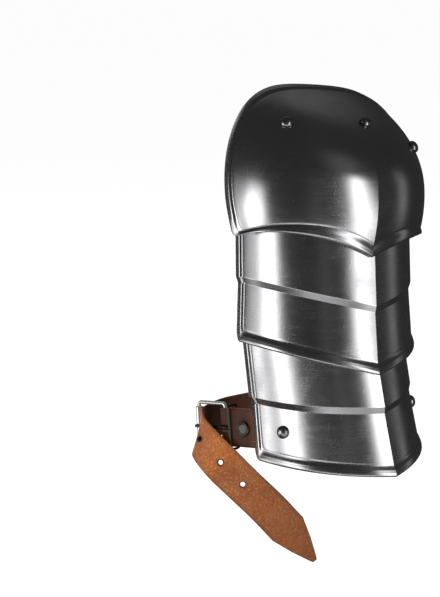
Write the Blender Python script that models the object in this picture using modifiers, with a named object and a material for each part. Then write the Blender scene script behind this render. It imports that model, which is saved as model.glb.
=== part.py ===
"""A steel pauldron with a domed shoulder cop, two lames on leathers, an arm strap and a shoulder strap.

Metres, +Z up. The origin is where the wearer's shoulder meets the inside of the cop. The ridge faces -Y,
the open side faces +Y. Side angles are in degrees from the ridge, positive toward +X.
"""
import bpy
import bmesh
from math import atan2, cos, degrees, exp, hypot, pi, radians, sin, sqrt
from mathutils import Matrix, Vector

# Sizes of the sheet steel
WALL = 0.0013
BAND = 0.0066
BAND_FOOT = 0.0082
BAND_LIFT = 0.0014
CORNER_ROUND = 0.006
GAP = 0.00035

# Sizes of the rivets and washers
HEAD_R = 0.0053
HEAD_UP = 0.0043
LOW_HEAD_UP = 0.0030
SHANK_R = 0.0020
HOLE_R = 0.0024
WASHER_R = 0.0098
WASHER_T = 0.0010
FOLD_WASHER_R = 0.0058
PEEN_R = 0.0028
PEEN_T = 0.0013

# Sizes of the leathers and straps
LEATHER_W = 0.036
LEATHER_T = 0.0024
ARM_W = 0.032
ARM_T = 0.0025
SHOULDER_W = 0.0295
SHOULDER_T = 0.0026
PRONG_HOLE_R = 0.0027
STRAP_HOLE_R = 0.0021

# Sizes of the buckles
WIRE_R = 0.0017
ROLLER_R = 0.0031
PRONG_R = 0.0015
ARM_FRAME = (0.0388, 0.029)
SHOULDER_FRAME = (0.036, 0.027)
FRAME_BEND = 0.0030
KEEPER_R = 0.0011
KEEPER_BACK = 0.0070
FOLD_RIVET_BACK = 0.0205
# Slot in a fold for the prong's eye, in the buckle's own frame
SLOT_LOW = (-0.0095, -0.0023, -0.009)
ARM_SLOT_LOW = (-0.0060, -0.0023, -0.009)
SLOT_HIGH = (0.0075, 0.0023, 0.009)
# The hole for the arm buckle's prong runs between these two points of the buckle's own frame
PRONG_HOLE_FROM = (0.017, 0.0, 0.0040)
PRONG_HOLE_TO = (0.032, 0.0, 0.0050)
# Room between a plate's lining and the washer's seat, for the bends of what lies between them
ARM_SEAT = 0.0011
LEATHER_SEAT = 0.0014
COP_SEAT = 0.0028
FOLD_SEAT = 0.0021
# How far the hole cutters reach outward, and inward through the stack
CUT_OUT = 0.006
CUT_IN = 0.016
FOLD_CUT_IN = 0.012

# The shoulder cop
COP = {
    "half_width": 0.0910,
    "depth": 0.0900,
    "up": 0.0916,
    "down": 0.1054,
    "keel": 0.0031,
    "keel_spread": 14.0,
    "edge_side": 0.0337,
    "edge_ridge": 0.0587,
    "edge_cusp": 2.2,
    "corner_hang": 0.0042,
    "rim_side": -0.0085,
    "rim_top": -0.0025,
    "place": (-0.0070, 0.0156, -0.0767),
    "tilt": (5.2, 10.8, -2.3),
}
DEPTH_FALL = 2.1
WIDTH_FALL = 0.67

# The lames: heights run down from each plate's own level. Each is narrower and less deep than the plate
# over it by the two clearances, which leave room for its rivets.
UPPER_NEST_WIDTH = 0.0143
UPPER_NEST_DEPTH = 0.0062
LOWER_NEST_WIDTH = 0.0098
LOWER_NEST_DEPTH = 0.0060
LAMES = {
    "upper": {
        "half_width": COP["half_width"] - UPPER_NEST_WIDTH,
        "depth": COP["depth"] - UPPER_NEST_DEPTH,
        "width_grow": 0.003,
        "depth_grow": 0.041,
        "keel": 0.0024,
        "keel_spread": 9.0,
        "top_side": -0.036,
        "top_ridge": -0.028,
        "step_side": 0.0384,
        "step_ridge": 0.0616,
        "edge_side": 0.0862,
        "edge_ridge": 0.1113,
        "edge_cusp": 1.47,
        "place": (-0.0071, 0.0171, -0.1090),
        "tilt": (2.3, 4.15, -0.9),
    },
    "lower": {
        "half_width": COP["half_width"] - UPPER_NEST_WIDTH - LOWER_NEST_WIDTH,
        "depth": COP["depth"] - UPPER_NEST_DEPTH - LOWER_NEST_DEPTH,
        "width_grow": 0.014,
        "depth_grow": 0.073,
        "keel": 0.0032,
        "keel_spread": 9.0,
        "top_side": 0.060,
        "top_ridge": 0.068,
        "step_side": 0.1525,
        "step_ridge": 0.1668,
        "edge_side": 0.1997,
        "edge_ridge": 0.2182,
        "edge_cusp": 1.45,
        "place": (-0.0186, 0.0250, -0.0879),
        "tilt": (-4.65, 5.1, -0.1),
    },
}
LOWER_MIDDLE = LAMES["lower"]["place"][0]
STEP_IN = 0.0020
STEP_RUN = 0.0055

# How finely the plates are laid out: shares of the way from a side to the ridge, and of the height
COP_SIDES = (1.0, 0.955, 0.90, 0.79, 0.66, 0.52, 0.38, 0.25, 0.14, 0.06, 0.0)
COP_RIM_STEPS = 26
COP_RINGS = (0.16, 0.34, 0.52, 0.70, 0.87)
LAME_SIDES = (0.88, 0.76, 0.63, 0.50, 0.37, 0.24, 0.13, 0.055, 0.0)
LAME_UPPER_ROWS = (0.0, 0.34, 0.68)
LAME_LOWER_ROWS = (0.5,)

# Rivets: name, plate, side angle, height in the plate's own level, head height
RIVETS = (
    ("cop_rivet_left", "cop", -50.0, 0.0508, HEAD_UP),
    ("cop_rivet_middle", "cop", 11.0, 0.0515, HEAD_UP),
    ("cop_rivet_right", "cop", 49.5, 0.0340, HEAD_UP),
    ("upper_rivet_left", "upper", -57.0, 0.020, LOW_HEAD_UP),
    ("upper_rivet_middle", "upper", 0.0, 0.018, LOW_HEAD_UP),
    ("upper_rivet_right", "upper", 57.0, 0.020, LOW_HEAD_UP),
    ("lower_rivet_left", "lower", -58.0, -0.075, LOW_HEAD_UP),
    ("lower_rivet_middle", "lower", 0.0, -0.079, LOW_HEAD_UP),
    ("lower_rivet_right", "lower", 58.0, -0.075, LOW_HEAD_UP),
    ("arm_rivet_left", "lower", -60.5, -0.1745, HEAD_UP),
    ("arm_rivet_right", "lower", 51.0, -0.1730, HEAD_UP),
)


# The arm strap's buckle: the bar's middle, set in from the lower lame's side, the way to the roller,
# and the way outward
ARM_BUCKLE_SET_IN = 0.0068
ARM_BUCKLE_AT = (LOWER_MIDDLE - LAMES["lower"]["half_width"] + ARM_BUCKLE_SET_IN, 0.0407, -0.2697)
ARM_BUCKLE_AHEAD = (-0.30, 0.954, -0.085)
ARM_BUCKLE_OUT = (-0.954, -0.30, 0.0)
ARM_LEVEL = -0.2585
ARM_LEVEL_X = 0.100
ARM_LEVEL_Y = -0.08
# Side angles of the strap's run inside the lower lame
ARM_ANGLES = (-77, -66, -52, -38, -24, -10, 4, 18, 32, 46, 60, 72, 82, 88)
# Points it passes behind the open side: share of the lower lame's half width from its middle, y, and sag
FAR_POINTS = (
    (1.175, 0.0200, 0.0005),
    (1.160, 0.0420, 0.0020),
    (0.981, 0.0680, 0.0042),
    (0.577, 0.0890, 0.0058),
    (0.039, 0.0970, 0.0058),
    (-0.380, 0.0930, 0.0036),
    (-0.664, 0.0820, 0.0014),
    (-0.833, 0.0729, 0.0003),
)
# Its tail from the roller to the tip: centre from the buckle's bar, across toward the lower edge, face
TAIL = (
    ((-0.0047, 0.0243, -0.0021), (0.02, -0.07, -1.00), (-0.62, 0.79, -0.06)),
    ((-0.0101, 0.0215, -0.0025), (-0.01, -0.04, -1.00), (-0.62, 0.78, -0.02)),
    ((-0.0145, 0.0183, -0.0048), (-0.14, 0.04, -0.98), (-0.86, 0.45, 0.16)),
    ((-0.0180, 0.0128, -0.0106), (-0.36, 0.18, -0.92), (-0.92, -0.25, 0.31)),
    ((-0.0128, -0.0101, -0.0265), (-0.62, 0.34, -0.70), (-0.68, -0.72, 0.14)),
    ((0.0027, -0.0197, -0.0453), (-0.68, 0.39, -0.62), (-0.57, -0.81, 0.14)),
    ((0.0190, -0.0304, -0.0645), (-0.68, 0.39, -0.62), (-0.57, -0.81, 0.14)),
    ((0.0337, -0.0401, -0.0838), (-0.69, 0.39, -0.61), (-0.57, -0.81, 0.14)),
    ((0.0508, -0.0550, -0.1102), (-0.69, 0.39, -0.61), (-0.57, -0.81, 0.14)),
)
TAIL_HOLE_STATIONS = (3, 4, 5)
# Blunt point of a strap: share of the way to the tip, share of the width
TIP_TAPER = ((0.0, 1.0), (0.5, 0.62), (0.92, 0.22), (1.0, 0.12))

# The shoulder strap: length below its rivet, first hole's drop and the holes' pitch
SHOULDER_HANG = 0.178
SHOULDER_HOLES = (0.030, 0.0245)
SHOULDER_HOLE_COUNT = 5
# Points under the cop's roof, in the cop's own frame, with their drop: the bar's first
ROOF = (
    (0.0250, -0.0290, 0.0720, 0.0090),
    (0.0200, -0.0400, 0.0640, 0.0102),
)

# The plates' common axis, and the depth of what lines them
AXIS = Vector((-0.008, 0.016, 0.0))
LINING = WALL + 0.0011



# Helpers: scene
def clear_scene():
    for thing in list(bpy.data.objects):
        bpy.data.objects.remove(thing, do_unlink=True)


def collection(name, hidden=False):
    group = bpy.data.collections.new(name)
    bpy.context.scene.collection.children.link(group)
    group.hide_render = hidden
    return group


def material(name, colour, roughness, metallic):
    made = bpy.data.materials.new(name)
    made.use_nodes = True
    shader = made.node_tree.nodes["Principled BSDF"]
    shader.inputs["Base Color"].default_value = (*colour, 1.0)
    shader.inputs["Roughness"].default_value = roughness
    shader.inputs["Metallic"].default_value = metallic
    made.diffuse_color = (*colour, 1.0)
    return made


def add_object(name, verts, faces, look, group, smooth=True):
    mesh = bpy.data.meshes.new(name)
    mesh.from_pydata([tuple(v) for v in verts], [], faces)
    work = bmesh.new()
    work.from_mesh(mesh)
    bmesh.ops.recalc_face_normals(work, faces=work.faces)
    work.to_mesh(mesh)
    work.free()
    if smooth:
        for face in mesh.polygons:
            face.use_smooth = True
    thing = bpy.data.objects.new(name, mesh)
    group.objects.link(thing)
    if look:
        mesh.materials.append(look)
    return thing


# Helpers: the plates' own shapes
def place_matrix(plate):
    roll, pitch, yaw = (radians(v) for v in plate["tilt"])
    turn = Matrix.Rotation(roll, 4, "Y") @ Matrix.Rotation(-pitch, 4, "X") @ Matrix.Rotation(yaw, 4, "Z")
    return Matrix.Translation(plate["place"]) @ turn


def plate_named(name):
    return COP if name == "cop" else LAMES[name]


def oval(angle, half_width, depth):
    a = radians(angle)
    return 1.0 / hypot(sin(a) / half_width, cos(a) / depth)


def cop_radius(angle, height):
    span = COP["up"] if height > 0 else COP["down"]
    k = sqrt(max(1e-6, 1.0 - (height / span) ** 2))
    wide = COP["half_width"] * (k ** WIDTH_FALL if height > 0 else k)
    deep = COP["depth"] * (k ** DEPTH_FALL if height > 0 else k)
    fade = min(1.0, max(0.0, (0.030 - height) / 0.060))
    return oval(angle, wide, deep) + COP["keel"] * fade * exp(-abs(angle) / COP["keel_spread"])


def edge_share(angle):
    return min(1.0, abs(angle) / 90.0)


def lame_lift(plate, angle, height):
    """Step inward below the false edge, growing back toward the bottom edge."""
    a = edge_share(angle)
    step = plate["step_side"] + (plate["step_ridge"] - plate["step_side"]) * (1 - a) ** plate["edge_cusp"]
    edge = plate["edge_side"] + (plate["edge_ridge"] - plate["edge_side"]) * (1 - a) ** plate["edge_cusp"]
    down = -height
    if down < step - STEP_RUN:
        return 0.0
    if down < step:
        return -STEP_IN * (down - step + STEP_RUN) / STEP_RUN
    return -STEP_IN * max(0.0, (edge - down) / (edge - step))


def lame_radius(plate, angle, height):
    down = -height
    wide = plate["half_width"] + plate["width_grow"] * down
    deep = plate["depth"] + plate["depth_grow"] * down
    body = oval(angle, wide, deep) + plate["keel"] * exp(-abs(angle) / plate["keel_spread"])
    return body + lame_lift(plate, angle, height)


def plate_radius(name, angle, height):
    if name == "cop":
        return cop_radius(angle, height)
    return lame_radius(LAMES[name], angle, height)


def skin_point(name, angle, height):
    r = plate_radius(name, angle, height)
    a = radians(angle)
    return Vector((r * sin(a), -r * cos(a), height))


def skin_normal(name, angle, height):
    side = skin_point(name, angle + 0.5, height) - skin_point(name, angle - 0.5, height)
    rise = skin_point(name, angle, height + 0.0005) - skin_point(name, angle, height - 0.0005)
    return side.cross(rise).normalized()


# The shoulder cop
def cop_edge_height(angle, corner):
    a = min(1.0, abs(angle) / corner)
    drop = COP["edge_side"] + (COP["edge_ridge"] - COP["edge_side"]) * (1 - a) ** COP["edge_cusp"]
    return -(drop + COP["corner_hang"] * a ** 4)


def rim_back(height):
    low = -(COP["edge_side"] + COP["corner_hang"])
    share = (height - low) / (COP["up"] - low)
    return COP["rim_side"] + (COP["rim_top"] - COP["rim_side"]) * share


def rim_point(turn):
    """Point on the rim at an angle from straight up, found along a ray in the rim's plane."""
    a = radians(turn)
    near, far = 0.02, 0.2
    for _ in range(40):
        mid = (near + far) / 2
        x, z = mid * sin(a), mid * cos(a)
        y = rim_back(z)
        inside = z < COP["up"] and hypot(x, y) < cop_radius(degrees(atan2(x, -y)), z)
        near, far = (mid, far) if inside else (near, mid)
    return Vector((near * sin(a), rim_back(near * cos(a)), near * cos(a)))


def cop_along(direction):
    """Point where a ray from the cop's own centre meets its outer skin."""
    angle = degrees(atan2(direction.x, -direction.y))
    level = hypot(direction.x, direction.y)
    near, far = 0.02, 0.2
    for _ in range(40):
        mid = (near + far) / 2
        z = mid * direction.z
        inside = z < COP["up"] and mid * level < cop_radius(angle, z)
        near, far = (mid, far) if inside else (near, mid)
    return direction * near


def cop_boundary(side_angles, rim_steps):
    """Closed loop: bottom edge from left to right, then the rim back over the top."""
    low = -(COP["edge_side"] + COP["corner_hang"])
    reach = cop_radius(86.0, low)
    corner = 90.0 - degrees(abs(COP["rim_side"]) / reach)
    angles = [-a * corner for a in side_angles] + [a * corner for a in reversed(side_angles[:-1])]
    loop = [skin_point("cop", a, cop_edge_height(a, corner)) for a in angles]
    turn_low = degrees(atan2(loop[-1].x, loop[-1].z))
    for i in range(1, rim_steps):
        loop.append(rim_point(turn_low - 2 * turn_low * i / rim_steps))
    last = len(side_angles) * 2 - 2
    for k in (0, last):
        before, after = loop[k - 1], loop[(k + 1) % len(loop)]
        pull = ((before - loop[k]).normalized() + (after - loop[k]).normalized()) * CORNER_ROUND * 0.3
        loop[k] = loop[k] + pull
    return loop


def slerp(a, b, t):
    gap = a.angle(b)
    return (a * sin((1 - t) * gap) + b * sin(t * gap)) / sin(gap)


def cop_sheet(side_angles, rim_steps, shares):
    """Outer skin: rings from a pole on the ridge out to the boundary, the last three make the border."""
    pole = skin_point("cop", 0.0, 0.025).normalized()
    loop = cop_boundary(side_angles, rim_steps)
    verts = [cop_along(pole)]
    rings = []
    for edge in loop:
        way = edge.normalized()
        length = pole.angle(way) * (edge.length + verts[0].length) / 2
        foot = 1 - BAND_FOOT / length
        ring = [(foot * s, 0.0) for s in shares]
        rings.append(ring + [(foot, 0.0), (1 - BAND / length, BAND_LIFT), (1.0, BAND_LIFT)])
    faces = []
    count = len(loop)
    for j in range(len(shares) + 3):
        for i, edge in enumerate(loop):
            share, lift = rings[i][j]
            way = slerp(pole, edge.normalized(), share)
            point = cop_along(way)
            verts.append(point + point.normalized() * lift)
    for i in range(count):
        faces.append((0, 1 + i, 1 + (i + 1) % count))
    for j in range(len(shares) + 2):
        a, b = 1 + j * count, 1 + (j + 1) * count
        for i in range(count):
            n = (i + 1) % count
            faces.append((a + i, b + i, b + n, a + n))
    return verts, faces


# The lames
def lame_edges(plate, angle):
    a = edge_share(angle)
    top = plate["top_side"] + (plate["top_ridge"] - plate["top_side"]) * (1 - a)
    step = plate["step_side"] + (plate["step_ridge"] - plate["step_side"]) * (1 - a) ** plate["edge_cusp"]
    edge = plate["edge_side"] + (plate["edge_ridge"] - plate["edge_side"]) * (1 - a) ** plate["edge_cusp"]
    side = radians(90.0 - abs(angle)) * plate["half_width"]
    if side < CORNER_ROUND:
        cut = CORNER_ROUND - sqrt(CORNER_ROUND ** 2 - (CORNER_ROUND - side) ** 2)
        edge -= cut
        top += cut
    return top, step, edge


def lame_sheet(name, side_angles, upper_rows, lower_rows):
    plate = LAMES[name]
    band = degrees(BAND / plate["half_width"])
    foot = degrees(BAND_FOOT / plate["half_width"])
    half = [90.0, 90.0 - band * 0.5, 90.0 - band, 90.0 - foot] + [a * (90.0 - foot) for a in side_angles]
    angles = [-a for a in half] + [a for a in reversed(half[:-1])]
    verts, faces = [], []
    rows = 0
    for angle in angles:
        top, step, edge = lame_edges(plate, angle)
        start = step - STEP_RUN
        downs = [top + (start - top) * s for s in upper_rows] + [start, step]
        downs += [step + (edge - BAND_FOOT - step) * s for s in lower_rows]
        downs += [edge - BAND_FOOT, edge - BAND, edge]
        rows = len(downs)
        beside = 90.0 - abs(angle)
        for j, down in enumerate(downs):
            raised = j >= rows - 2 or beside < foot - 1e-6
            point = skin_point(name, angle, -down)
            lift = BAND_LIFT if raised else 0.0
            verts.append(point + skin_normal(name, angle, -down) * lift)
    for i in range(len(angles) - 1):
        for j in range(rows - 1):
            a = i * rows + j
            faces.append((a, a + rows, a + rows + 1, a + 1))
    return verts, faces


def solid_sheet(thing, thickness):
    thick = thing.modifiers.new("wall", "SOLIDIFY")
    thick.thickness = thickness
    thick.offset = -1.0
    thick.use_even_offset = True
    apply_all(thing)
    return thing


def apply_all(thing):
    """Bake the modifiers into the object's own mesh."""
    graph = bpy.context.evaluated_depsgraph_get()
    baked = bpy.data.meshes.new_from_object(thing.evaluated_get(graph))
    thing.modifiers.clear()
    old = thing.data
    thing.data = baked
    bpy.data.meshes.remove(old)
    baked.name = thing.name


def point_outward(thing):
    """Turn the faces of an open sheet away from the origin of its own plate."""
    work = bmesh.new()
    work.from_mesh(thing.data)
    total = sum(f.normal.dot(f.calc_center_median()) for f in work.faces)
    if total < 0:
        bmesh.ops.reverse_faces(work, faces=work.faces)
    work.to_mesh(thing.data)
    work.free()


# Lathe work: profile of (radius, height) run from the top centre to the bottom centre
def lathe(name, profile, sides, place, look, group):
    verts, faces = [], []
    rows = []
    for radius, height in profile:
        if radius < 1e-7:
            rows.append([len(verts)])
            verts.append(Vector((0, 0, height)))
        else:
            rows.append(list(range(len(verts), len(verts) + sides)))
            for i in range(sides):
                a = 2 * pi * i / sides
                verts.append(Vector((radius * cos(a), radius * sin(a), height)))
    closed = len(rows[0]) > 1 and len(rows[-1]) > 1
    pairs = list(zip(rows, rows[1:])) + ([(rows[-1], rows[0])] if closed else [])
    for upper, lower in pairs:
        for i in range(sides):
            n = (i + 1) % sides
            if len(upper) == 1:
                faces.append((upper[0], lower[i], lower[n]))
            elif len(lower) == 1:
                faces.append((upper[i], lower[0], upper[n]))
            else:
                faces.append((upper[i], lower[i], lower[n], upper[n]))
    thing = add_object(name, [place @ v for v in verts], faces, look, group)
    return thing


def frame_at(point, outward, up=Vector((0, 0, 1))):
    """Place whose own Z runs outward."""
    z = outward.normalized()
    x = up.cross(z).normalized()
    y = z.cross(x)
    turn = Matrix((x, y, z)).transposed().to_4x4()
    return Matrix.Translation(point) @ turn


def rivet(name, place, stack, head_up, look, group):
    """Domed head outside, shank through the stack, peened end inside. Place: outer skin, Z outward."""
    arc = [(HEAD_R * sin(radians(a)), GAP + head_up * cos(radians(a))) for a in (0, 32, 60, 80)]
    profile = arc + [(HEAD_R, GAP), (SHANK_R, GAP), (SHANK_R, -stack), (PEEN_R, -stack)]
    profile += [(PEEN_R * 0.8, -stack - PEEN_T), (0.0, -stack - PEEN_T * 1.15)]
    return lathe(name, profile, 10, place, look, group)


def washer(name, place, depth, look, group, radius=WASHER_R):
    low = -depth - WASHER_T
    profile = [(HOLE_R, -depth), (radius, -depth), (radius, low), (HOLE_R, low)]
    return lathe(name, profile, 12, place, look, group)


# Ribbons: straps and leathers
def smooth_stations(stations, parts):
    """Catmull-Rom run through tuples of vectors."""
    out = []
    last = len(stations) - 1
    for i in range(last):
        p0, p1 = stations[max(0, i - 1)], stations[i]
        p2, p3 = stations[i + 1], stations[min(last, i + 2)]
        for k in range(parts):
            t = k / parts
            row = []
            for a, b, c, d in zip(p0, p1, p2, p3):
                row.append(0.5 * ((2 * b) + (c - a) * t + (2 * a - 5 * b + 4 * c - d) * t * t
                                  + (3 * b - a - 3 * c + d) * t ** 3))
            out.append(tuple(row))
    out.append(stations[-1])
    return out


def eased(points):
    """Halve the steps of a run of points and take the edge off its bends."""
    fine = []
    for a, b in zip(points, points[1:]):
        fine += [a, (a + b) / 2]
    fine.append(points[-1])
    out = [fine[0]]
    for a, b, c in zip(fine, fine[1:], fine[2:]):
        out.append(b + ((a + c) / 2 - b) * 0.35)
    return out + [fine[-1]]


def ribbon(name, stations, thickness, look, group):
    """Stations: (centre, half across, outward). The section is a flat rectangle with four corners."""
    verts, faces = [], []
    for centre, across, outward in stations:
        n = outward.normalized() * thickness / 2
        verts += [centre - across + n, centre + across + n, centre + across - n, centre - across - n]
    for i in range(len(stations) - 1):
        a = 4 * i
        for k in range(4):
            n = (k + 1) % 4
            faces.append((a + k, a + n, a + 4 + n, a + 4 + k))
    faces.append((0, 1, 2, 3))
    last = 4 * (len(stations) - 1)
    faces.append((last + 3, last + 2, last + 1, last))
    return add_object(name, verts, faces, look, group, smooth=False)


def wire_loop(name, points, radius, sides, look, group, closed=True):
    """Round wire along a run of points."""
    verts, faces = [], []
    count = len(points)
    plane = None
    for i in range(count):
        if closed:
            ahead = (points[(i + 1) % count] - points[i - 1]).normalized()
        else:
            ahead = (points[min(i + 1, count - 1)] - points[max(i - 1, 0)]).normalized()
        if plane is None:
            seed = Vector((0, 0, 1)) if abs(ahead.z) < 0.8 else Vector((1, 0, 0))
            plane = ahead.cross(seed).normalized()
        plane = (plane - ahead * plane.dot(ahead)).normalized()
        other = ahead.cross(plane)
        for k in range(sides):
            a = 2 * pi * k / sides
            verts.append(points[i] + (plane * cos(a) + other * sin(a)) * radius)
    for i in range(count if closed else count - 1):
        a, b = i * sides, ((i + 1) % count) * sides
        for k in range(sides):
            n = (k + 1) % sides
            faces.append((a + k, a + n, b + n, b + k))
    if not closed:
        faces.append(tuple(range(sides)))
        faces.append(tuple(reversed(range((count - 1) * sides, count * sides))))
    return add_object(name, verts, faces, look, group)


def cutter(name, profile_radius, start, end, group, sides=14):
    run = end - start
    place = frame_at(start, run, Vector((0, 0, 1)) if abs(run.normalized().z) < 0.9 else Vector((1, 0, 0)))
    thing = lathe(name, [(0, 0), (profile_radius, 0), (profile_radius, run.length), (0, run.length)], sides,
                  place, None, group)
    thing.display_type = "WIRE"
    return thing


def cut(thing, tools):
    for tool in tools:
        step = thing.modifiers.new("hole", "BOOLEAN")
        step.operation = "DIFFERENCE"
        step.solver = "EXACT"
        step.object = tool
        bpy.context.view_layer.update()
        apply_all(thing)


def reach(name, angle, level):
    """Distance from the plates' common axis to a plate's outer skin along a level ray."""
    back = place_matrix(plate_named(name)).inverted()
    a = radians(angle)
    way = Vector((sin(a), -cos(a), 0))
    near, far = 0.01, 0.16
    for _ in range(36):
        mid = (near + far) / 2
        local = back @ (Vector((AXIS.x, AXIS.y, level)) + way * mid)
        if name == "cop" and local.z >= COP["up"]:
            inside = False
        else:
            turn = degrees(atan2(local.x, -local.y))
            inside = hypot(local.x, local.y) < plate_radius(name, turn, local.z)
        near, far = (mid, far) if inside else (near, mid)
    return near


def on_ray(angle, level, distance):
    a = radians(angle)
    return Vector((AXIS.x + distance * sin(a), AXIS.y - distance * cos(a), level))


def rivet_places():
    """World place of each rivet: outer skin with its own Z outward."""
    places = {}
    for name, plate, angle, height, head in RIVETS:
        matrix = place_matrix(plate_named(plate))
        point = matrix @ skin_point(plate, angle, height)
        outward = matrix.to_3x3() @ skin_normal(plate, angle, height)
        places[name] = (frame_at(point, outward), head)
    return places


def world_angle(point):
    return degrees(atan2(point.x - AXIS.x, -(point.y - AXIS.y)))


def lining_point(name, angle, level, depth):
    """Point inside a plate along a level ray, with the thin crease of the ridge left out."""
    matrix = place_matrix(plate_named(name))
    back = matrix.inverted()
    plate = plate_named(name)
    keel = plate["keel"]
    plate["keel"] = 0.0
    point = on_ray(angle, level, reach(name, angle, level))
    local = back @ point
    turn = degrees(atan2(local.x, -local.y))
    outward = (matrix.to_3x3() @ skin_normal(name, turn, local.z)).normalized()
    plate["keel"] = keel
    return point - outward * depth, outward


def crease(name, angle, height):
    """How far the ridge's crease stands out at a point."""
    plate = plate_named(name)
    fade = min(1.0, max(0.0, (0.030 - height) / 0.060)) if name == "cop" else 1.0
    return plate["keel"] * fade * exp(-abs(angle) / plate["keel_spread"])


def leather(name, keys, look, group):
    """A wide leather from the cop down inside both lames. Keys: its rivets on the three plates."""
    cop_r, upper_r, lower_r = (PLACES[k][0].translation for k in keys)
    upper_top = (place_matrix(LAMES["upper"]) @ skin_point("upper", 0, -LAMES["upper"]["top_side"])).z
    lower_top = (place_matrix(LAMES["lower"]) @ skin_point("lower", 0, -LAMES["lower"]["top_side"])).z
    turn = [world_angle(p) for p in (cop_r, upper_r, lower_r)]
    rows = (
        ("cop", turn[0], cop_r.z + 0.011),
        ("cop", turn[0], cop_r.z),
        ("cop", turn[0], cop_r.z - 0.011),
        ("upper", turn[1], upper_top + 0.006),
        ("upper", turn[1], upper_r.z),
        ("upper", turn[1], upper_r.z - 0.012),
        ("lower", turn[2], lower_top + 0.006),
        ("lower", turn[2], lower_r.z),
        ("lower", turn[2], lower_r.z - 0.015),
    )
    grid = []
    for share in (-1.0, -0.34, 0.34, 1.0):
        column = []
        for row, (plate, angle, level) in enumerate(rows):
            around = reach(plate, angle, level)
            spread = degrees(LEATHER_W / 2 / around) * share * (0.72 if row == 0 else 1.0)
            depth = LINING + (0.0010 if plate == "cop" else 0.0)
            column.append(lining_point(plate, angle + spread, level, depth)[0])
        grid.append(eased(column))
    count = len(grid[0])
    verts = [p for column in grid for p in column]
    faces = []
    for i in range(3):
        for j in range(count - 1):
            a = i * count + j
            faces.append((a, a + 1, a + count + 1, a + count))
    thing = add_object(name, verts, faces, look, group)
    work = bmesh.new()
    work.from_mesh(thing.data)
    centre = Vector((AXIS.x, AXIS.y, cop_r.z - 0.08))
    if sum(f.normal.dot(f.calc_center_median() - centre) for f in work.faces) < 0:
        bmesh.ops.reverse_faces(work, faces=work.faces)
    work.to_mesh(thing.data)
    work.free()
    return solid_sheet(thing, LEATHER_T)


# The buckles. Own frame: X from the bar to the roller, Y across the strap, Z outward
def buckle_frame_points(size):
    half, length = size[0] / 2, size[1]
    points = []
    for cx, cy, start in ((length, half, 0), (0, half, 90), (0, -half, 180), (length, -half, 270)):
        mid_x = cx - FRAME_BEND if cx > 0 else FRAME_BEND
        mid_y = cy - FRAME_BEND if cy > 0 else cy + FRAME_BEND
        for k in range(4):
            a = radians(start + 30 * k)
            points.append(Vector((mid_x + FRAME_BEND * cos(a), mid_y + FRAME_BEND * sin(a), 0)))
    return points


def keeper_points(place):
    """Wire loop round the fold's two layers."""
    wide, high = ARM_W / 2 + 0.0022, ARM_T + 0.0024
    near = wide * 0.94
    half = ((wide, 0), (near, high), (0, high), (-near, high))
    run = half + tuple((-y, -z) for y, z in half)
    return [place @ Vector((-KEEPER_BACK, y, z)) for y, z in run]


def move_origin(thing, point):
    """Put an object's origin on a point of its joint's axis, with the shape left where it is."""
    thing.data.transform(Matrix.Translation(-point))
    thing.matrix_world = Matrix.Translation(point)


def buckle(prefix, place, size, look, group):
    """Wire frame, loose roller on its far side, and a prong whose eye turns on the bar."""
    half, length = size[0] / 2, size[1]
    points = [place @ p for p in buckle_frame_points(size)]
    frame = wire_loop(prefix + "_frame", points, WIRE_R, 8, look, group)
    along = Matrix.Translation((length, 0, 0)) @ Matrix.Rotation(pi / 2, 4, "X")
    reach_y = half - 0.0036
    bore = WIRE_R + GAP
    profile = [(bore, reach_y), (ROLLER_R, reach_y), (ROLLER_R, -reach_y), (bore, -reach_y)]
    roller = lathe(prefix + "_roller", profile, 14, place @ along, look, group)
    eye = WIRE_R + GAP + PRONG_R
    tip = ROLLER_R + PRONG_R + GAP
    path = [Vector((length + 0.0035, 0, tip)), Vector((length, 0, tip))]
    path.append(Vector((length * 0.6, 0, tip * 0.55 + eye * 0.45)))
    for a in (60, 90, 125, 160, 195, 230, 265, 300, 325):
        path.append(Vector((eye * cos(radians(a)), 0, eye * sin(radians(a)))))
    path = [place @ p for p in path]
    prong = wire_loop(prefix + "_prong", path, PRONG_R, 8, look, group, closed=False)
    move_origin(frame, place.translation)
    move_origin(prong, place.translation)
    move_origin(roller, place @ Vector((length, 0, 0)))


def box_cutter(name, place, low, high, group):
    verts = []
    for x in (low[0], high[0]):
        for y in (low[1], high[1]):
            for z in (low[2], high[2]):
                verts.append(place @ Vector((x, y, z)))
    faces = [(0, 1, 3, 2), (4, 6, 7, 5), (0, 4, 5, 1), (2, 3, 7, 6), (0, 2, 6, 4), (1, 5, 7, 3)]
    thing = add_object(name, verts, faces, None, group, smooth=False)
    thing.display_type = "WIRE"
    return thing


def fold_stations(place, thickness, width, length, near_gap):
    """Strap folded round the bar: inner layer's end first, outer layer's last."""
    ring = WIRE_R + GAP + thickness / 2
    flat = thickness / 2 + near_gap / 2
    side = Vector((0, width / 2, 0))
    rows = [(-length, -flat, 0, -1), (-0.014, -flat, 0, -1), (-0.0075, -flat * 0.6 - ring * 0.4, 0, -1),
            (0.0, -ring, 0, -1)]
    for a in (-60, -25, 10, 45, 75):
        rows.append((ring * cos(radians(a)), ring * sin(radians(a)), cos(radians(a)), sin(radians(a))))
    rows += [(0.0, ring, 0, 1), (-0.0075, flat * 0.6 + ring * 0.4, 0, 1), (-0.014, flat, 0, 1),
             (-length, flat, 0, 1)]
    turn = place.to_3x3()
    return [(place @ Vector((x, 0, z)), turn @ side, turn @ Vector((nx, 0, nz))) for x, z, nx, nz in rows]


def buckle_place(point, ahead, outward):
    x = Vector(ahead).normalized()
    z = Vector(outward)
    z = (z - x * z.dot(x)).normalized()
    y = z.cross(x)
    return Matrix.Translation(Vector(point)) @ Matrix((x, y, z)).transposed().to_4x4()


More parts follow.
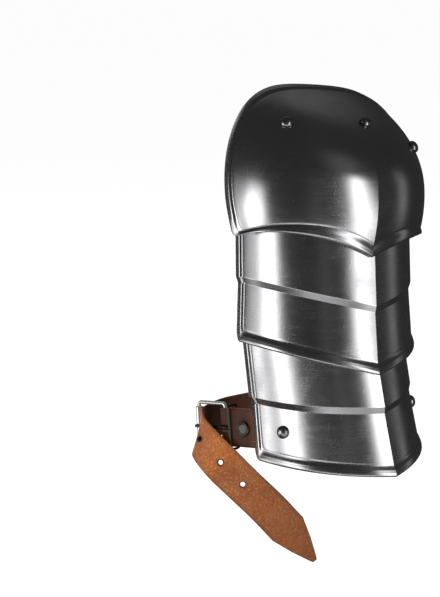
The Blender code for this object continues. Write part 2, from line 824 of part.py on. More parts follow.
def arm_level(x, y):
    """Level of the arm strap's middle line."""
    return ARM_LEVEL + ARM_LEVEL_X * x + ARM_LEVEL_Y * y


def tail_point(centre):
    return Vector(ARM_BUCKLE_AT) + Vector(centre)


def arm_stations(place):
    """The arm strap from its fold round the bar, inside the lower lame and behind, to the tail."""
    rows = fold_stations(place, ARM_T, ARM_W, 0.027, GAP)
    down = Vector((0, 0, -1))
    for angle in ARM_ANGLES:
        spot = on_ray(angle, -0.26, 0.07)
        level = arm_level(spot.x, spot.y)
        point, outward = lining_point("lower", angle, level, LINING + ARM_T / 2)
        across = (down - outward * down.dot(outward)).normalized() * ARM_W / 2
        rows.append((point, across, outward))
    middle = Vector((-0.010, 0.030, 0))
    for share, y, sag in FAR_POINTS:
        x = LOWER_MIDDLE + share * LAMES["lower"]["half_width"]
        outward = (Vector((x, y, 0)) - middle).normalized()
        rows.append((Vector((x, y, arm_level(x, y) - sag)), down * ARM_W / 2, outward))
    for centre, across, face in TAIL[:-1]:
        rows.append((tail_point(centre), Vector(across).normalized() * ARM_W / 2, Vector(face)))
    return rows


def tapered_end(rows, tip, shares):
    """Bring the last stations of a strap to a blunt point."""
    centre, across, face = rows[-1]
    out = []
    for share, width in shares[1:]:
        out.append((centre.lerp(Vector(tip), share), across * width, face))
    return rows + out


def build():
    clear_scene()
    group = collection("pauldron")
    tools = collection("cutters", hidden=True)
    steel = material("polished_steel", (0.42, 0.42, 0.43), 0.22, 1.0)
    dark = material("dark_rivet_steel", (0.20, 0.20, 0.21), 0.30, 1.0)
    zinc = material("zinc_washer", (0.62, 0.62, 0.60), 0.38, 1.0)
    black = material("black_leather", (0.020, 0.019, 0.018), 0.62, 0.0)
    brown = material("brown_leather", (0.33, 0.13, 0.045), 0.55, 0.0)
    nickel = material("nickel_wire", (0.66, 0.65, 0.62), 0.24, 1.0)

    # Plates
    verts, faces = cop_sheet(COP_SIDES, COP_RIM_STEPS, COP_RINGS)
    cop = add_object("shoulder_cop", verts, faces, steel, group)
    point_outward(cop)
    solid_sheet(cop, WALL)
    cop.data.transform(place_matrix(COP))
    plates = {"cop": cop}
    for name in LAMES:
        verts, faces = lame_sheet(name, LAME_SIDES, LAME_UPPER_ROWS, LAME_LOWER_ROWS)
        lame = add_object(name + "_lame", verts, faces, steel, group)
        point_outward(lame)
        solid_sheet(lame, WALL)
        lame.data.transform(place_matrix(LAMES[name]))
        plates[name] = lame

    # Leathers
    leathers = {}
    for side in ("left", "middle", "right"):
        keys = ["%s_rivet_%s" % (p, side) for p in ("cop", "upper", "lower")]
        leathers[side] = leather("leather_" + side, keys, black, group)

    # Shoulder strap: folded round the buckle's bar, both layers under the cop's middle rivet
    middle = PLACES["cop_rivet_middle"][0]
    strap, shoulder_place = shoulder_strap(middle, brown, group, tools)
    buckle("shoulder_buckle", shoulder_place, SHOULDER_FRAME, nickel, group)
    slot = box_cutter("shoulder_slot", shoulder_place, SLOT_LOW, SLOT_HIGH, tools)
    cut(strap, [slot])

    # Arm strap
    arm_place = buckle_place(ARM_BUCKLE_AT, ARM_BUCKLE_AHEAD, ARM_BUCKLE_OUT)
    rows = smooth_stations(arm_stations(arm_place), 2)
    rows = tapered_end(rows, tail_point(TAIL[-1][0]), TIP_TAPER)
    arm = ribbon("arm_strap", rows, ARM_T, brown, group)
    arm_tools = [box_cutter("arm_slot", arm_place, ARM_SLOT_LOW, SLOT_HIGH, tools)]
    for k in TAIL_HOLE_STATIONS:
        face = Vector(TAIL[k][2]).normalized() * CUT_OUT
        at = tail_point(TAIL[k][0])
        arm_tools.append(cutter("tail_hole_%d" % k, STRAP_HOLE_R, at - face, at + face, tools, 10))
    prong_from = arm_place @ Vector(PRONG_HOLE_FROM)
    prong_to = arm_place @ Vector(PRONG_HOLE_TO)
    arm_tools.append(cutter("prong_hole", PRONG_HOLE_R, prong_from, prong_to, tools, 10))
    cut(arm, arm_tools)
    buckle("arm_buckle", arm_place, ARM_FRAME, nickel, group)
    wire_loop("arm_keeper", keeper_points(arm_place), KEEPER_R, 6, nickel, group)

    # Rivets, washers and their holes
    for name, plate, angle, height, head in RIVETS:
        place = PLACES[name][0]
        side = name.rsplit("_", 1)[1]
        outward = (place.to_3x3() @ Vector((0, 0, 1)))
        at = place.translation
        tool = cutter(name + "_hole", HOLE_R, at + outward * CUT_OUT, at - outward * CUT_IN, tools)
        through = [plates[plate]]
        if name.startswith("arm"):
            depth = LINING + ARM_T + ARM_SEAT
            through.append(arm)
        else:
            depth = LINING + LEATHER_T + LEATHER_SEAT + crease(plate, angle, height)
            through.append(leathers[side])
            if plate == "cop":
                depth += COP_SEAT
            if name == "cop_rivet_middle":
                depth += 2 * SHOULDER_T + GAP + FOLD_SEAT
                through.append(strap)
        for thing in through:
            cut(thing, [tool])
        washer(name.replace("rivet", "washer"), place, depth, zinc, group)
        rivet(name, place, depth + WASHER_T + GAP, head, dark, group)

    # The rivet that closes the arm strap's fold
    fold = arm_place @ Matrix.Translation((-FOLD_RIVET_BACK, 0, ARM_T + GAP / 2))
    outward = fold.to_3x3() @ Vector((0, 0, 1))
    at = fold.translation
    tool = cutter("fold_hole", HOLE_R, at + outward * CUT_OUT, at - outward * FOLD_CUT_IN, tools)
    cut(arm, [tool])
    washer("arm_fold_washer", fold, 2 * ARM_T + 2 * GAP, zinc, group, FOLD_WASHER_R)
    cap = [(0.0, GAP + 0.0016), (0.0030, GAP + 0.0014), (0.0054, GAP + 0.0008)]
    cap += [(FOLD_WASHER_R, GAP), (SHANK_R, GAP)]
    low = -(2 * ARM_T + 3 * GAP + WASHER_T)
    cap += [(SHANK_R, low), (PEEN_R, low), (PEEN_R * 0.8, low - PEEN_T), (0.0, low - PEEN_T * 1.15)]
    lathe("arm_fold_rivet", cap, 14, fold, nickel, group)


def shoulder_strap(rivet_place, look, group, tools):
    """Hangs plumb from the cop's middle rivet; above it turns aside to the buckle near the rim."""
    matrix = place_matrix(COP)
    turn = rivet_place.to_3x3()
    at, n = rivet_place.translation, turn @ Vector((0, 0, 1))
    depth = LINING + 0.0010 + LEATHER_T + 0.0026 + SHOULDER_T + GAP + SHOULDER_T / 2
    start = at - n * depth
    side = turn @ Vector((1, 0, 0))
    level_side = Vector((side.x, side.y, 0)).normalized()
    down = side.cross(n).normalized()
    down = down if down.z < 0 else -down
    hang = start + down * 0.014 + Vector((0, 0.0015, -0.004))
    tip = Vector((hang.x, hang.y + 0.002, start.z - SHOULDER_HANG))
    rows = []

    # Roof stations from the buckle down to the rivet, all on the cop's lining
    roof = []
    for x, y, z, drop in ROOF:
        spot = cop_along(Vector((x, y, z)).normalized())
        local_turn = degrees(atan2(spot.x, -spot.y))
        out = matrix.to_3x3() @ skin_normal("cop", local_turn, spot.z)
        roof.append((matrix @ spot - out * (WALL + drop), out))
    bar, out = roof[0]
    ahead = (roof[0][0] - roof[1][0]).normalized()
    place = buckle_place(bar, ahead, -out)
    fold = fold_stations(place, SHOULDER_T, SHOULDER_W, 0.015, GAP)

    # The back layer runs on past the rivet between the leather and the front layer
    gap = SHOULDER_T + GAP
    stop = start + n * gap
    half = side * SHOULDER_W / 2
    rows += [(stop + down * 0.011, half, n), (stop - down * 0.004, half, n)] + fold[1:-1]
    rows += [(start - down * 0.004, half, -n), (start + down * 0.008, half, -n)]
    inward = Vector((-level_side.y, level_side.x, 0))
    rows += [(hang, level_side * SHOULDER_W / 2, inward)]
    for k in (0.25, 0.5, 0.75, 1.0):
        rows.append((hang.lerp(tip, k * 0.86), level_side * SHOULDER_W / 2, inward))
    rows = smooth_stations(rows, 2)
    rows = tapered_end(rows, tip, TIP_TAPER)
    strap = ribbon("shoulder_strap", rows, SHOULDER_T, look, group)
    holes = []
    for k in range(SHOULDER_HOLE_COUNT):
        spot = Vector((hang.x, hang.y, start.z - SHOULDER_HOLES[0] - k * SHOULDER_HOLES[1]))
        front, back = spot - Vector((0, 0.008, 0)), spot + Vector((0, 0.010, 0))
        holes.append(cutter("shoulder_hole_%d" % k, STRAP_HOLE_R, front, back, tools, 10))
    cut(strap, holes)
    return strap, place


PLACES = rivet_places()
build()
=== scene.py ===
"""Looks of the pauldron: fine plates, leathers, straps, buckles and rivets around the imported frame."""
from math import atan2, cos, degrees, exp, hypot, pi, radians, sin, sqrt

import bmesh
import bpy
from mathutils import Matrix, Vector, noise


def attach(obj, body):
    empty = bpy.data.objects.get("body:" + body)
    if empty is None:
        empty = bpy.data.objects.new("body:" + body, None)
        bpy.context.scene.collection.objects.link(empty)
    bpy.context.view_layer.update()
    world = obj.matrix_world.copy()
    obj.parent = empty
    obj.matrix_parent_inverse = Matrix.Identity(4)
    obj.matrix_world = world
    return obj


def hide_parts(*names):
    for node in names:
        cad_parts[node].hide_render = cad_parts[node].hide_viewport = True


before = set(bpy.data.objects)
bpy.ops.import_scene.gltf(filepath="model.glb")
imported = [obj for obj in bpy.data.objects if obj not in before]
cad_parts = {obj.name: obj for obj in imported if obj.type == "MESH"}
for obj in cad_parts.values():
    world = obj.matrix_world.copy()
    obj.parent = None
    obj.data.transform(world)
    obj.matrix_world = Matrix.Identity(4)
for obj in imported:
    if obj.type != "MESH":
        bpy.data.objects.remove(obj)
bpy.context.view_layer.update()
# Unseeded, the noise starts from the clock, and the dents of rivets and washers differ each run
noise.seed_set(1)

# Sizes of the sheet steel
WALL = 0.0013
BAND = 0.0066
BAND_LIFT = 0.0014
BAND_LEAN = 0.0008
# Where the border's top begins at the bottom edge, how much farther in at a side, and where its foot is
BAND_TOP = 0.0046
SIDE_TOP = 0.0024
BAND_FOOT = 0.0090
COP_BAND_FOOT = 0.0096
CROWN = 0.00045
GROOVE = 0.00022
GROOVE_AT = 0.0006
GROOVE_WIDTH = 0.0007
ROLL = 0.0013
ROLL_SHARE = 0.8
CORNER_ROUND = 0.006
GAP = 0.00035

# Sizes of the rivets and washers
HEAD_R = 0.0053
HEAD_UP = 0.0043
LOW_HEAD_UP = 0.0030
SHANK_R = 0.0020
HOLE_R = 0.0024
WASHER_R = 0.0098
WASHER_T = 0.0010
FOLD_WASHER_R = 0.0058
PEEN_R = 0.0028
PEEN_T = 0.0013
# How far washers stand off what they hold: on the arm strap, on a lame's leather, more on the cop's, and
# more again on the shoulder strap's fold
ARM_SEAT = 0.0011
LEATHER_SEAT = 0.0014
COP_SEAT = 0.0028
FOLD_SEAT = 0.0021

# Sizes of the leathers and straps
LEATHER_W = 0.036
LEATHER_T = 0.0024
ARM_W = 0.032
ARM_T = 0.0025
SHOULDER_W = 0.0295
SHOULDER_T = 0.0026
PRONG_HOLE_R = 0.0027
STRAP_HOLE_R = 0.0021
# Rounding of the straps' edges, the share of the thickness that it takes, and points across an edge
EDGE_ROUND = 0.0009
EDGE_SHARE = 0.62
EDGE_LANES = (0.0, 0.0003, 0.0008)
# Lengths of the folds round the buckles' bars, and where their two layers part
ARM_FOLD = 0.027
SHOULDER_FOLD = 0.015
FOLD_FLAT = 0.014
FOLD_WAIST = 0.0075

# Sizes of the buckles
WIRE_R = 0.0017
ROLLER_R = 0.0031
PRONG_R = 0.0015
ARM_FRAME = (0.0388, 0.029)
SHOULDER_FRAME = (0.036, 0.027)
FRAME_BEND = 0.0030
KEEPER_R = 0.0011
KEEPER_BACK = 0.0070
KEEPER_ROOM = (0.0022, 0.0024)
KEEPER_BEND = 0.0022
# How far the prongs reach past their rollers
ARM_PRONG_OVER = 0.0012
SHOULDER_PRONG_OVER = 0.0035
# Rivet through the arm strap's fold: way back from the bar, and the cap's profile
FOLD_RIVET_BACK = 0.0205
FOLD_CAP = ((0.0, 0.0011), (0.0022, 0.0011), (0.0036, 0.0010), (0.0044, 0.0012), (0.0050, 0.0016),
            (0.0055, 0.0016), (0.0060, 0.0012), (0.0063, 0.0006), (0.0063, 0.0002), (0.0061, 0.0))
# Slot in a fold for the prong's eye, in the buckle's own frame
SLOT_LOW = (-0.0095, -0.0023, -0.009)
ARM_SLOT_LOW = (-0.0060, -0.0023, -0.009)
SLOT_HIGH = (0.0075, 0.0023, 0.009)
# Hole in the arm strap for the prong, in the buckle's own frame
PRONG_HOLE_FROM = (0.017, 0.0, 0.0040)
PRONG_HOLE_TO = (0.032, 0.0, 0.0050)

# The shoulder cop
COP = {
    "half_width": 0.0910,
    "depth": 0.0900,
    "up": 0.0916,
    "down": 0.1054,
    "keel": 0.0031,
    "keel_spread": 14.0,
    "edge_side": 0.0337,
    "edge_ridge": 0.0587,
    "edge_cusp": 2.2,
    "corner_hang": 0.0042,
    "rim_side": -0.0085,
    "rim_top": -0.0025,
    "place": (-0.0070, 0.0156, -0.0767),
    "tilt": (5.2, 10.8, -2.3),
}
DEPTH_FALL = 2.1
WIDTH_FALL = 0.67

# The lames: heights run down from each plate's own level. Each is narrower and less deep than the plate
# over it by the two clearances, which leave room for its rivets.
UPPER_NEST_WIDTH = 0.0143
UPPER_NEST_DEPTH = 0.0062
LOWER_NEST_WIDTH = 0.0098
LOWER_NEST_DEPTH = 0.0060
LAMES = {
    "upper": {
        "half_width": COP["half_width"] - UPPER_NEST_WIDTH,
        "depth": COP["depth"] - UPPER_NEST_DEPTH,
        "width_grow": 0.003,
        "depth_grow": 0.041,
        "keel": 0.0024,
        "keel_spread": 9.0,
        "top_side": -0.036,
        "top_ridge": -0.028,
        "step_side": 0.0384,
        "step_ridge": 0.0616,
        "edge_side": 0.0862,
        "edge_ridge": 0.1113,
        "edge_cusp": 1.47,
        "place": (-0.0071, 0.0171, -0.1090),
        "tilt": (2.3, 4.15, -0.9),
    },
    "lower": {
        "half_width": COP["half_width"] - UPPER_NEST_WIDTH - LOWER_NEST_WIDTH,
        "depth": COP["depth"] - UPPER_NEST_DEPTH - LOWER_NEST_DEPTH,
        "width_grow": 0.014,
        "depth_grow": 0.073,
        "keel": 0.0032,
        "keel_spread": 9.0,
        "top_side": 0.060,
        "top_ridge": 0.068,
        "step_side": 0.1525,
        "step_ridge": 0.1668,
        "edge_side": 0.1997,
        "edge_ridge": 0.2182,
        "edge_cusp": 1.45,
        "place": (-0.0186, 0.0250, -0.0879),
        "tilt": (-4.65, 5.1, -0.1),
    },
}
PLATES = ("cop", "upper", "lower")
LOWER_MIDDLE = LAMES["lower"]["place"][0]
STEP_IN = 0.0020
STEP_RUN = 0.0055
# Points of the fine plates: along the cop's bottom edge to its ridge, along its rim, and from its pole to
# the border, with the rounds and reach of smoothing at its corners; across half a lame, down to its step,
# and down from the step to the border
COP_EDGE_STEPS = 96
COP_RIM_STEPS = 230
COP_RINGS = 62
CORNER_ROUNDS = 14
CORNER_REACH = 5
LAME_COLUMNS = 84
LAME_ROWS = 34
LAME_LOW_ROWS = 12
# How far in the even rings and rows end, and the first row of the border
COP_BORDER = 0.0115
COP_FIRST_ROW = 0.0110
LAME_BORDER = 0.0120
LAME_FIRST_ROW = 0.0112
# Distances from a plate's edge of the other rows of points along its raised border
BORDER_ROWS = tuple(0.0104 - 0.0006 * i for i in range(15)) + (0.0015, 0.0011, 0.0007, 0.0004, 0.0002, 0.0)

# Rivets: name, plate, side angle, height in the plate's own level, head height
RIVETS = (
    ("cop_rivet_left", "cop", -50.0, 0.0508, HEAD_UP),
    ("cop_rivet_middle", "cop", 11.0, 0.0515, HEAD_UP),
    ("cop_rivet_right", "cop", 49.5, 0.0340, HEAD_UP),
    ("upper_rivet_left", "upper", -57.0, 0.020, LOW_HEAD_UP),
    ("upper_rivet_middle", "upper", 0.0, 0.018, LOW_HEAD_UP),
    ("upper_rivet_right", "upper", 57.0, 0.020, LOW_HEAD_UP),
    ("lower_rivet_left", "lower", -58.0, -0.075, LOW_HEAD_UP),
    ("lower_rivet_middle", "lower", 0.0, -0.079, LOW_HEAD_UP),
    ("lower_rivet_right", "lower", 58.0, -0.075, LOW_HEAD_UP),
    ("arm_rivet_left", "lower", -60.5, -0.1745, HEAD_UP),
    ("arm_rivet_right", "lower", 51.0, -0.1730, HEAD_UP),
)


# The arm strap's buckle: the bar's middle, set in from the lower lame's side, the way to the roller,
# and the way outward
ARM_BUCKLE_SET_IN = 0.0068
ARM_BUCKLE_AT = (LOWER_MIDDLE - LAMES["lower"]["half_width"] + ARM_BUCKLE_SET_IN, 0.0407, -0.2697)
ARM_BUCKLE_AHEAD = (-0.30, 0.954, -0.085)
ARM_BUCKLE_OUT = (-0.954, -0.30, 0.0)
ARM_LEVEL = -0.2585
ARM_LEVEL_X = 0.100
ARM_LEVEL_Y = -0.08
# Side angles of the strap's run inside the lower lame
ARM_ANGLES = (-77, -66, -52, -38, -24, -10, 4, 18, 32, 46, 60, 72, 82, 88)
# Points it passes behind the open side: share of the lower lame's half width from its middle, y, and sag
FAR_POINTS = (
    (1.175, 0.0200, 0.0005),
    (1.160, 0.0420, 0.0020),
    (0.981, 0.0680, 0.0042),
    (0.577, 0.0890, 0.0058),
    (0.039, 0.0970, 0.0058),
    (-0.380, 0.0930, 0.0036),
    (-0.664, 0.0820, 0.0014),
    (-0.833, 0.0729, 0.0003),
)
# Its tail from the roller to the tip: centre from the buckle's bar, across toward the lower edge, face
TAIL = (
    ((-0.0047, 0.0243, -0.0021), (0.02, -0.07, -1.00), (-0.62, 0.79, -0.06)),
    ((-0.0101, 0.0215, -0.0025), (-0.01, -0.04, -1.00), (-0.62, 0.78, -0.02)),
    ((-0.0145, 0.0183, -0.0048), (-0.14, 0.04, -0.98), (-0.86, 0.45, 0.16)),
    ((-0.0180, 0.0128, -0.0106), (-0.36, 0.18, -0.92), (-0.92, -0.25, 0.31)),
    ((-0.0128, -0.0101, -0.0265), (-0.62, 0.34, -0.70), (-0.68, -0.72, 0.14)),
    ((0.0027, -0.0197, -0.0453), (-0.68, 0.39, -0.62), (-0.57, -0.81, 0.14)),
    ((0.0190, -0.0304, -0.0645), (-0.68, 0.39, -0.62), (-0.57, -0.81, 0.14)),
    ((0.0337, -0.0401, -0.0838), (-0.69, 0.39, -0.61), (-0.57, -0.81, 0.14)),
    ((0.0508, -0.0550, -0.1102), (-0.69, 0.39, -0.61), (-0.57, -0.81, 0.14)),
)
TAIL_HOLE_STATIONS = (3, 4, 5)
# Blunt point of a strap: share of the way to the tip, share of the width
TIP_TAPER = ((0.0, 1.0), (0.5, 0.62), (0.92, 0.22), (1.0, 0.12))

# The shoulder strap: length below its rivet, first hole's drop and the holes' pitch
SHOULDER_HANG = 0.178
SHOULDER_HOLES = (0.030, 0.0245)
SHOULDER_HOLE_COUNT = 5
# Points under the cop's roof, in the cop's own frame, with their drop: the bar's first
ROOF = (
    (0.0250, -0.0290, 0.0720, 0.0090),
    (0.0200, -0.0400, 0.0640, 0.0102),
)

# The plates' common axis, the depth of what lines them, more of it in the cop, and the room between a
# leather and the shoulder strap
AXIS = Vector((-0.008, 0.016, 0.0))
LINING = WALL + 0.0011
COP_LINING = 0.0010
STRAP_SEAT = 0.0026


def place_matrix(plate):
    roll, pitch, yaw = (radians(v) for v in plate["tilt"])
    turn = Matrix.Rotation(roll, 4, "Y") @ Matrix.Rotation(-pitch, 4, "X") @ Matrix.Rotation(yaw, 4, "Z")
    return Matrix.Translation(plate["place"]) @ turn


def plate_named(name):
    return COP if name == "cop" else LAMES[name]


def oval(angle, half_width, depth):
    a = radians(angle)
    return 1.0 / hypot(sin(a) / half_width, cos(a) / depth)


def crease(name, angle, height):
    """How far the ridge's crease stands out at a point."""
    plate = plate_named(name)
    fade = min(1.0, max(0.0, (0.030 - height) / 0.060)) if name == "cop" else 1.0
    return plate["keel"] * fade * exp(-abs(angle) / plate["keel_spread"])


def cop_radius(angle, height):
    above = height > 0
    k = sqrt(max(1e-6, 1.0 - (height / (COP["up"] if above else COP["down"])) ** 2))
    wide = COP["half_width"] * (k ** WIDTH_FALL if above else k)
    deep = COP["depth"] * (k ** DEPTH_FALL if above else k)
    return oval(angle, wide, deep) + crease("cop", angle, height)


def edge_share(angle):
    return min(1.0, abs(angle) / 90.0)


def lame_lines(plate, angle):
    """Depths of a lame's false edge and of its bottom edge."""
    peak = (1 - edge_share(angle)) ** plate["edge_cusp"]
    return [plate[line + "_side"] + (plate[line + "_ridge"] - plate[line + "_side"]) * peak
            for line in ("step", "edge")]


def lame_lift(plate, angle, height):
    """Step inward below the false edge, growing back toward the bottom edge."""
    step, edge = lame_lines(plate, angle)
    down = -height
    if down < step - STEP_RUN:
        return 0.0
    if down < step:
        return -STEP_IN * (down - step + STEP_RUN) / STEP_RUN
    return -STEP_IN * max(0.0, (edge - down) / (edge - step))


def plate_radius(name, angle, height):
    if name == "cop":
        return cop_radius(angle, height)
    plate = LAMES[name]
    wide = plate["half_width"] - plate["width_grow"] * height
    deep = plate["depth"] - plate["depth_grow"] * height
    return oval(angle, wide, deep) + crease(name, angle, height) + lame_lift(plate, angle, height)


def skin_point(name, angle, height):
    r = plate_radius(name, angle, height)
    a = radians(angle)
    return Vector((r * sin(a), -r * cos(a), height))


def skin_normal(name, angle, height):
    side = skin_point(name, angle + 0.5, height) - skin_point(name, angle - 0.5, height)
    rise = skin_point(name, angle, height + 0.0005) - skin_point(name, angle, height - 0.0005)
    return side.cross(rise).normalized()


def cop_edge_height(angle, corner):
    a = min(1.0, abs(angle) / corner)
    drop = COP["edge_side"] + (COP["edge_ridge"] - COP["edge_side"]) * (1 - a) ** COP["edge_cusp"]
    return -(drop + COP["corner_hang"] * a ** 4)


def rim_back(height):
    low = -(COP["edge_side"] + COP["corner_hang"])
    share = (height - low) / (COP["up"] - low)
    return COP["rim_side"] + (COP["rim_top"] - COP["rim_side"]) * share


def last_inside(test, near, far, rounds):
    """Farthest distance that still passes a test."""
    for _ in range(rounds):
        mid = (near + far) / 2
        near, far = (mid, far) if test(mid) else (near, mid)
    return near


def rim_point(turn):
    """Point on the rim at an angle from straight up, found along a ray in the rim's plane."""
    a = radians(turn)

    def inside(length):
        x, z = length * sin(a), length * cos(a)
        y = rim_back(z)
        return z < COP["up"] and hypot(x, y) < cop_radius(degrees(atan2(x, -y)), z)

    near = last_inside(inside, 0.02, 0.2, 40)
    return Vector((near * sin(a), rim_back(near * cos(a)), near * cos(a)))


def cop_along(direction):
    """Point where a ray from the cop's own centre meets its outer skin."""
    angle = degrees(atan2(direction.x, -direction.y))
    level = hypot(direction.x, direction.y)

    def inside(length):
        z = length * direction.z
        return z < COP["up"] and length * level < cop_radius(angle, z)

    return direction * last_inside(inside, 0.02, 0.2, 40)


def slerp(a, b, t):
    gap = a.angle(b)
    return (a * sin((1 - t) * gap) + b * sin(t * gap)) / sin(gap)


def lame_edges(plate, angle):
    """Depths of a lame's top edge, false edge and bottom edge, its corners rounded."""
    top = plate["top_side"] + (plate["top_ridge"] - plate["top_side"]) * (1 - edge_share(angle))
    step, edge = lame_lines(plate, angle)
    side = radians(90.0 - abs(angle)) * plate["half_width"]
    if side < CORNER_ROUND:
        cut = CORNER_ROUND - sqrt(CORNER_ROUND ** 2 - (CORNER_ROUND - side) ** 2)
        edge -= cut
        top += cut
    return top, step, edge


def frame_at(point, outward, up=Vector((0, 0, 1))):
    """Place whose own Z runs outward."""
    z = outward.normalized()
    x = up.cross(z).normalized()
    y = z.cross(x)
    turn = Matrix((x, y, z)).transposed().to_4x4()
    return Matrix.Translation(point) @ turn


def smooth_stations(stations, parts):
    """Catmull-Rom run through tuples of vectors."""
    out = []
    last = len(stations) - 1
    for i in range(last):
        p0, p1 = stations[max(0, i - 1)], stations[i]
        p2, p3 = stations[i + 1], stations[min(last, i + 2)]
        for k in range(parts):
            t = k / parts
            row = []
            for a, b, c, d in zip(p0, p1, p2, p3):
                row.append(0.5 * ((2 * b) + (c - a) * t + (2 * a - 5 * b + 4 * c - d) * t * t
                                  + (3 * b - a - 3 * c + d) * t ** 3))
            out.append(tuple(row))
    out.append(stations[-1])
    return out


def eased(points):
    """Halve the steps of a run of points and take the edge off its bends."""
    fine = []
    for a, b in zip(points, points[1:]):
        fine += [a, (a + b) / 2]
    fine.append(points[-1])
    out = [fine[0]]
    for a, b, c in zip(fine, fine[1:], fine[2:]):
        out.append(b + ((a + c) / 2 - b) * 0.35)
    return out + [fine[-1]]


def reach(name, angle, level):
    """Distance from the plates' common axis to a plate's outer skin along a level ray."""
    back = place_matrix(plate_named(name)).inverted()

    def inside(length):
        local = back @ on_ray(angle, level, length)
        if name == "cop" and local.z >= COP["up"]:
            return False
        return hypot(local.x, local.y) < plate_radius(name, degrees(atan2(local.x, -local.y)), local.z)

    return last_inside(inside, 0.01, 0.16, 36)


def on_ray(angle, level, distance):
    a = radians(angle)
    return Vector((AXIS.x + distance * sin(a), AXIS.y - distance * cos(a), level))


def rivet_places():
    """World place of each rivet: outer skin with its own Z outward."""
    places = {}
    for name, plate, angle, height, _ in RIVETS:
        matrix = place_matrix(plate_named(plate))
        point = matrix @ skin_point(plate, angle, height)
        outward = matrix.to_3x3() @ skin_normal(plate, angle, height)
        places[name] = frame_at(point, outward)
    return places


def world_angle(point):
    return degrees(atan2(point.x - AXIS.x, -(point.y - AXIS.y)))


def lining_point(name, angle, level, depth):
    """Point inside a plate along a level ray, with the thin crease of the ridge left out."""
    plate = plate_named(name)
    matrix = place_matrix(plate)
    keel, plate["keel"] = plate["keel"], 0.0
    point = on_ray(angle, level, reach(name, angle, level))
    local = matrix.inverted() @ point
    turn = degrees(atan2(local.x, -local.y))
    outward = (matrix.to_3x3() @ skin_normal(name, turn, local.z)).normalized()
    plate["keel"] = keel
    return point - outward * depth, outward


def corner_run(low, high, half, bend, steps):
    """Pairs round a box with rounded corners: the first from low to high, the second from -half to half."""
    corners = ((high - bend, half - bend, 0), (low + bend, half - bend, 90),
               (low + bend, bend - half, 180), (high - bend, bend - half, 270))
    turns = [(u, v, radians(start + 90 / steps * k)) for u, v, start in corners for k in range(steps + 1)]
    return [(u + bend * cos(a), v + bend * sin(a)) for u, v, a in turns]


def fold_stations(place, thickness, width, length):
    """Strap folded round the bar: inner layer's end first, outer layer's last."""
    ring = WIRE_R + GAP + thickness / 2
    flat = thickness / 2 + GAP / 2
    waist = flat * 0.6 + ring * 0.4
    outer = [(0.0, ring, 0, 1), (-FOLD_WAIST, waist, 0, 1), (-FOLD_FLAT, flat, 0, 1), (-length, flat, 0, 1)]
    rows = [(x, -z, 0, -1) for x, z, _, _ in reversed(outer)]
    for a in (-60, -25, 10, 45, 75):
        rows.append((ring * cos(radians(a)), ring * sin(radians(a)), cos(radians(a)), sin(radians(a))))
    turn = place.to_3x3()
    side = turn @ Vector((0, width / 2, 0))
    return [(place @ Vector((x, 0, z)), side, turn @ Vector((nx, 0, nz))) for x, z, nx, nz in rows + outer]


def buckle_place(point, ahead, outward):
    x = Vector(ahead).normalized()
    z = Vector(outward)
    z = (z - x * z.dot(x)).normalized()
    y = z.cross(x)
    return Matrix.Translation(Vector(point)) @ Matrix((x, y, z)).transposed().to_4x4()


def arm_level(x, y):
    """Level of the arm strap's middle line."""
    return ARM_LEVEL + ARM_LEVEL_X * x + ARM_LEVEL_Y * y


def tail_point(centre):
    return Vector(ARM_BUCKLE_AT) + Vector(centre)


def arm_stations(place):
    """The arm strap from its fold round the bar, inside the lower lame and behind, to the tail."""
    rows = fold_stations(place, ARM_T, ARM_W, ARM_FOLD)
    down = Vector((0, 0, -1))
    for angle in ARM_ANGLES:
        spot = on_ray(angle, -0.26, 0.07)
        level = arm_level(spot.x, spot.y)
        point, outward = lining_point("lower", angle, level, LINING + ARM_T / 2)
        across = (down - outward * down.dot(outward)).normalized() * ARM_W / 2
        rows.append((point, across, outward))
    middle = Vector((-0.010, 0.030, 0))
    for share, y, sag in FAR_POINTS:
        x = LOWER_MIDDLE + share * LAMES["lower"]["half_width"]
        outward = (Vector((x, y, 0)) - middle).normalized()
        rows.append((Vector((x, y, arm_level(x, y) - sag)), down * ARM_W / 2, outward))
    for centre, across, face in TAIL[:-1]:
        rows.append((tail_point(centre), Vector(across).normalized() * ARM_W / 2, Vector(face)))
    return rows


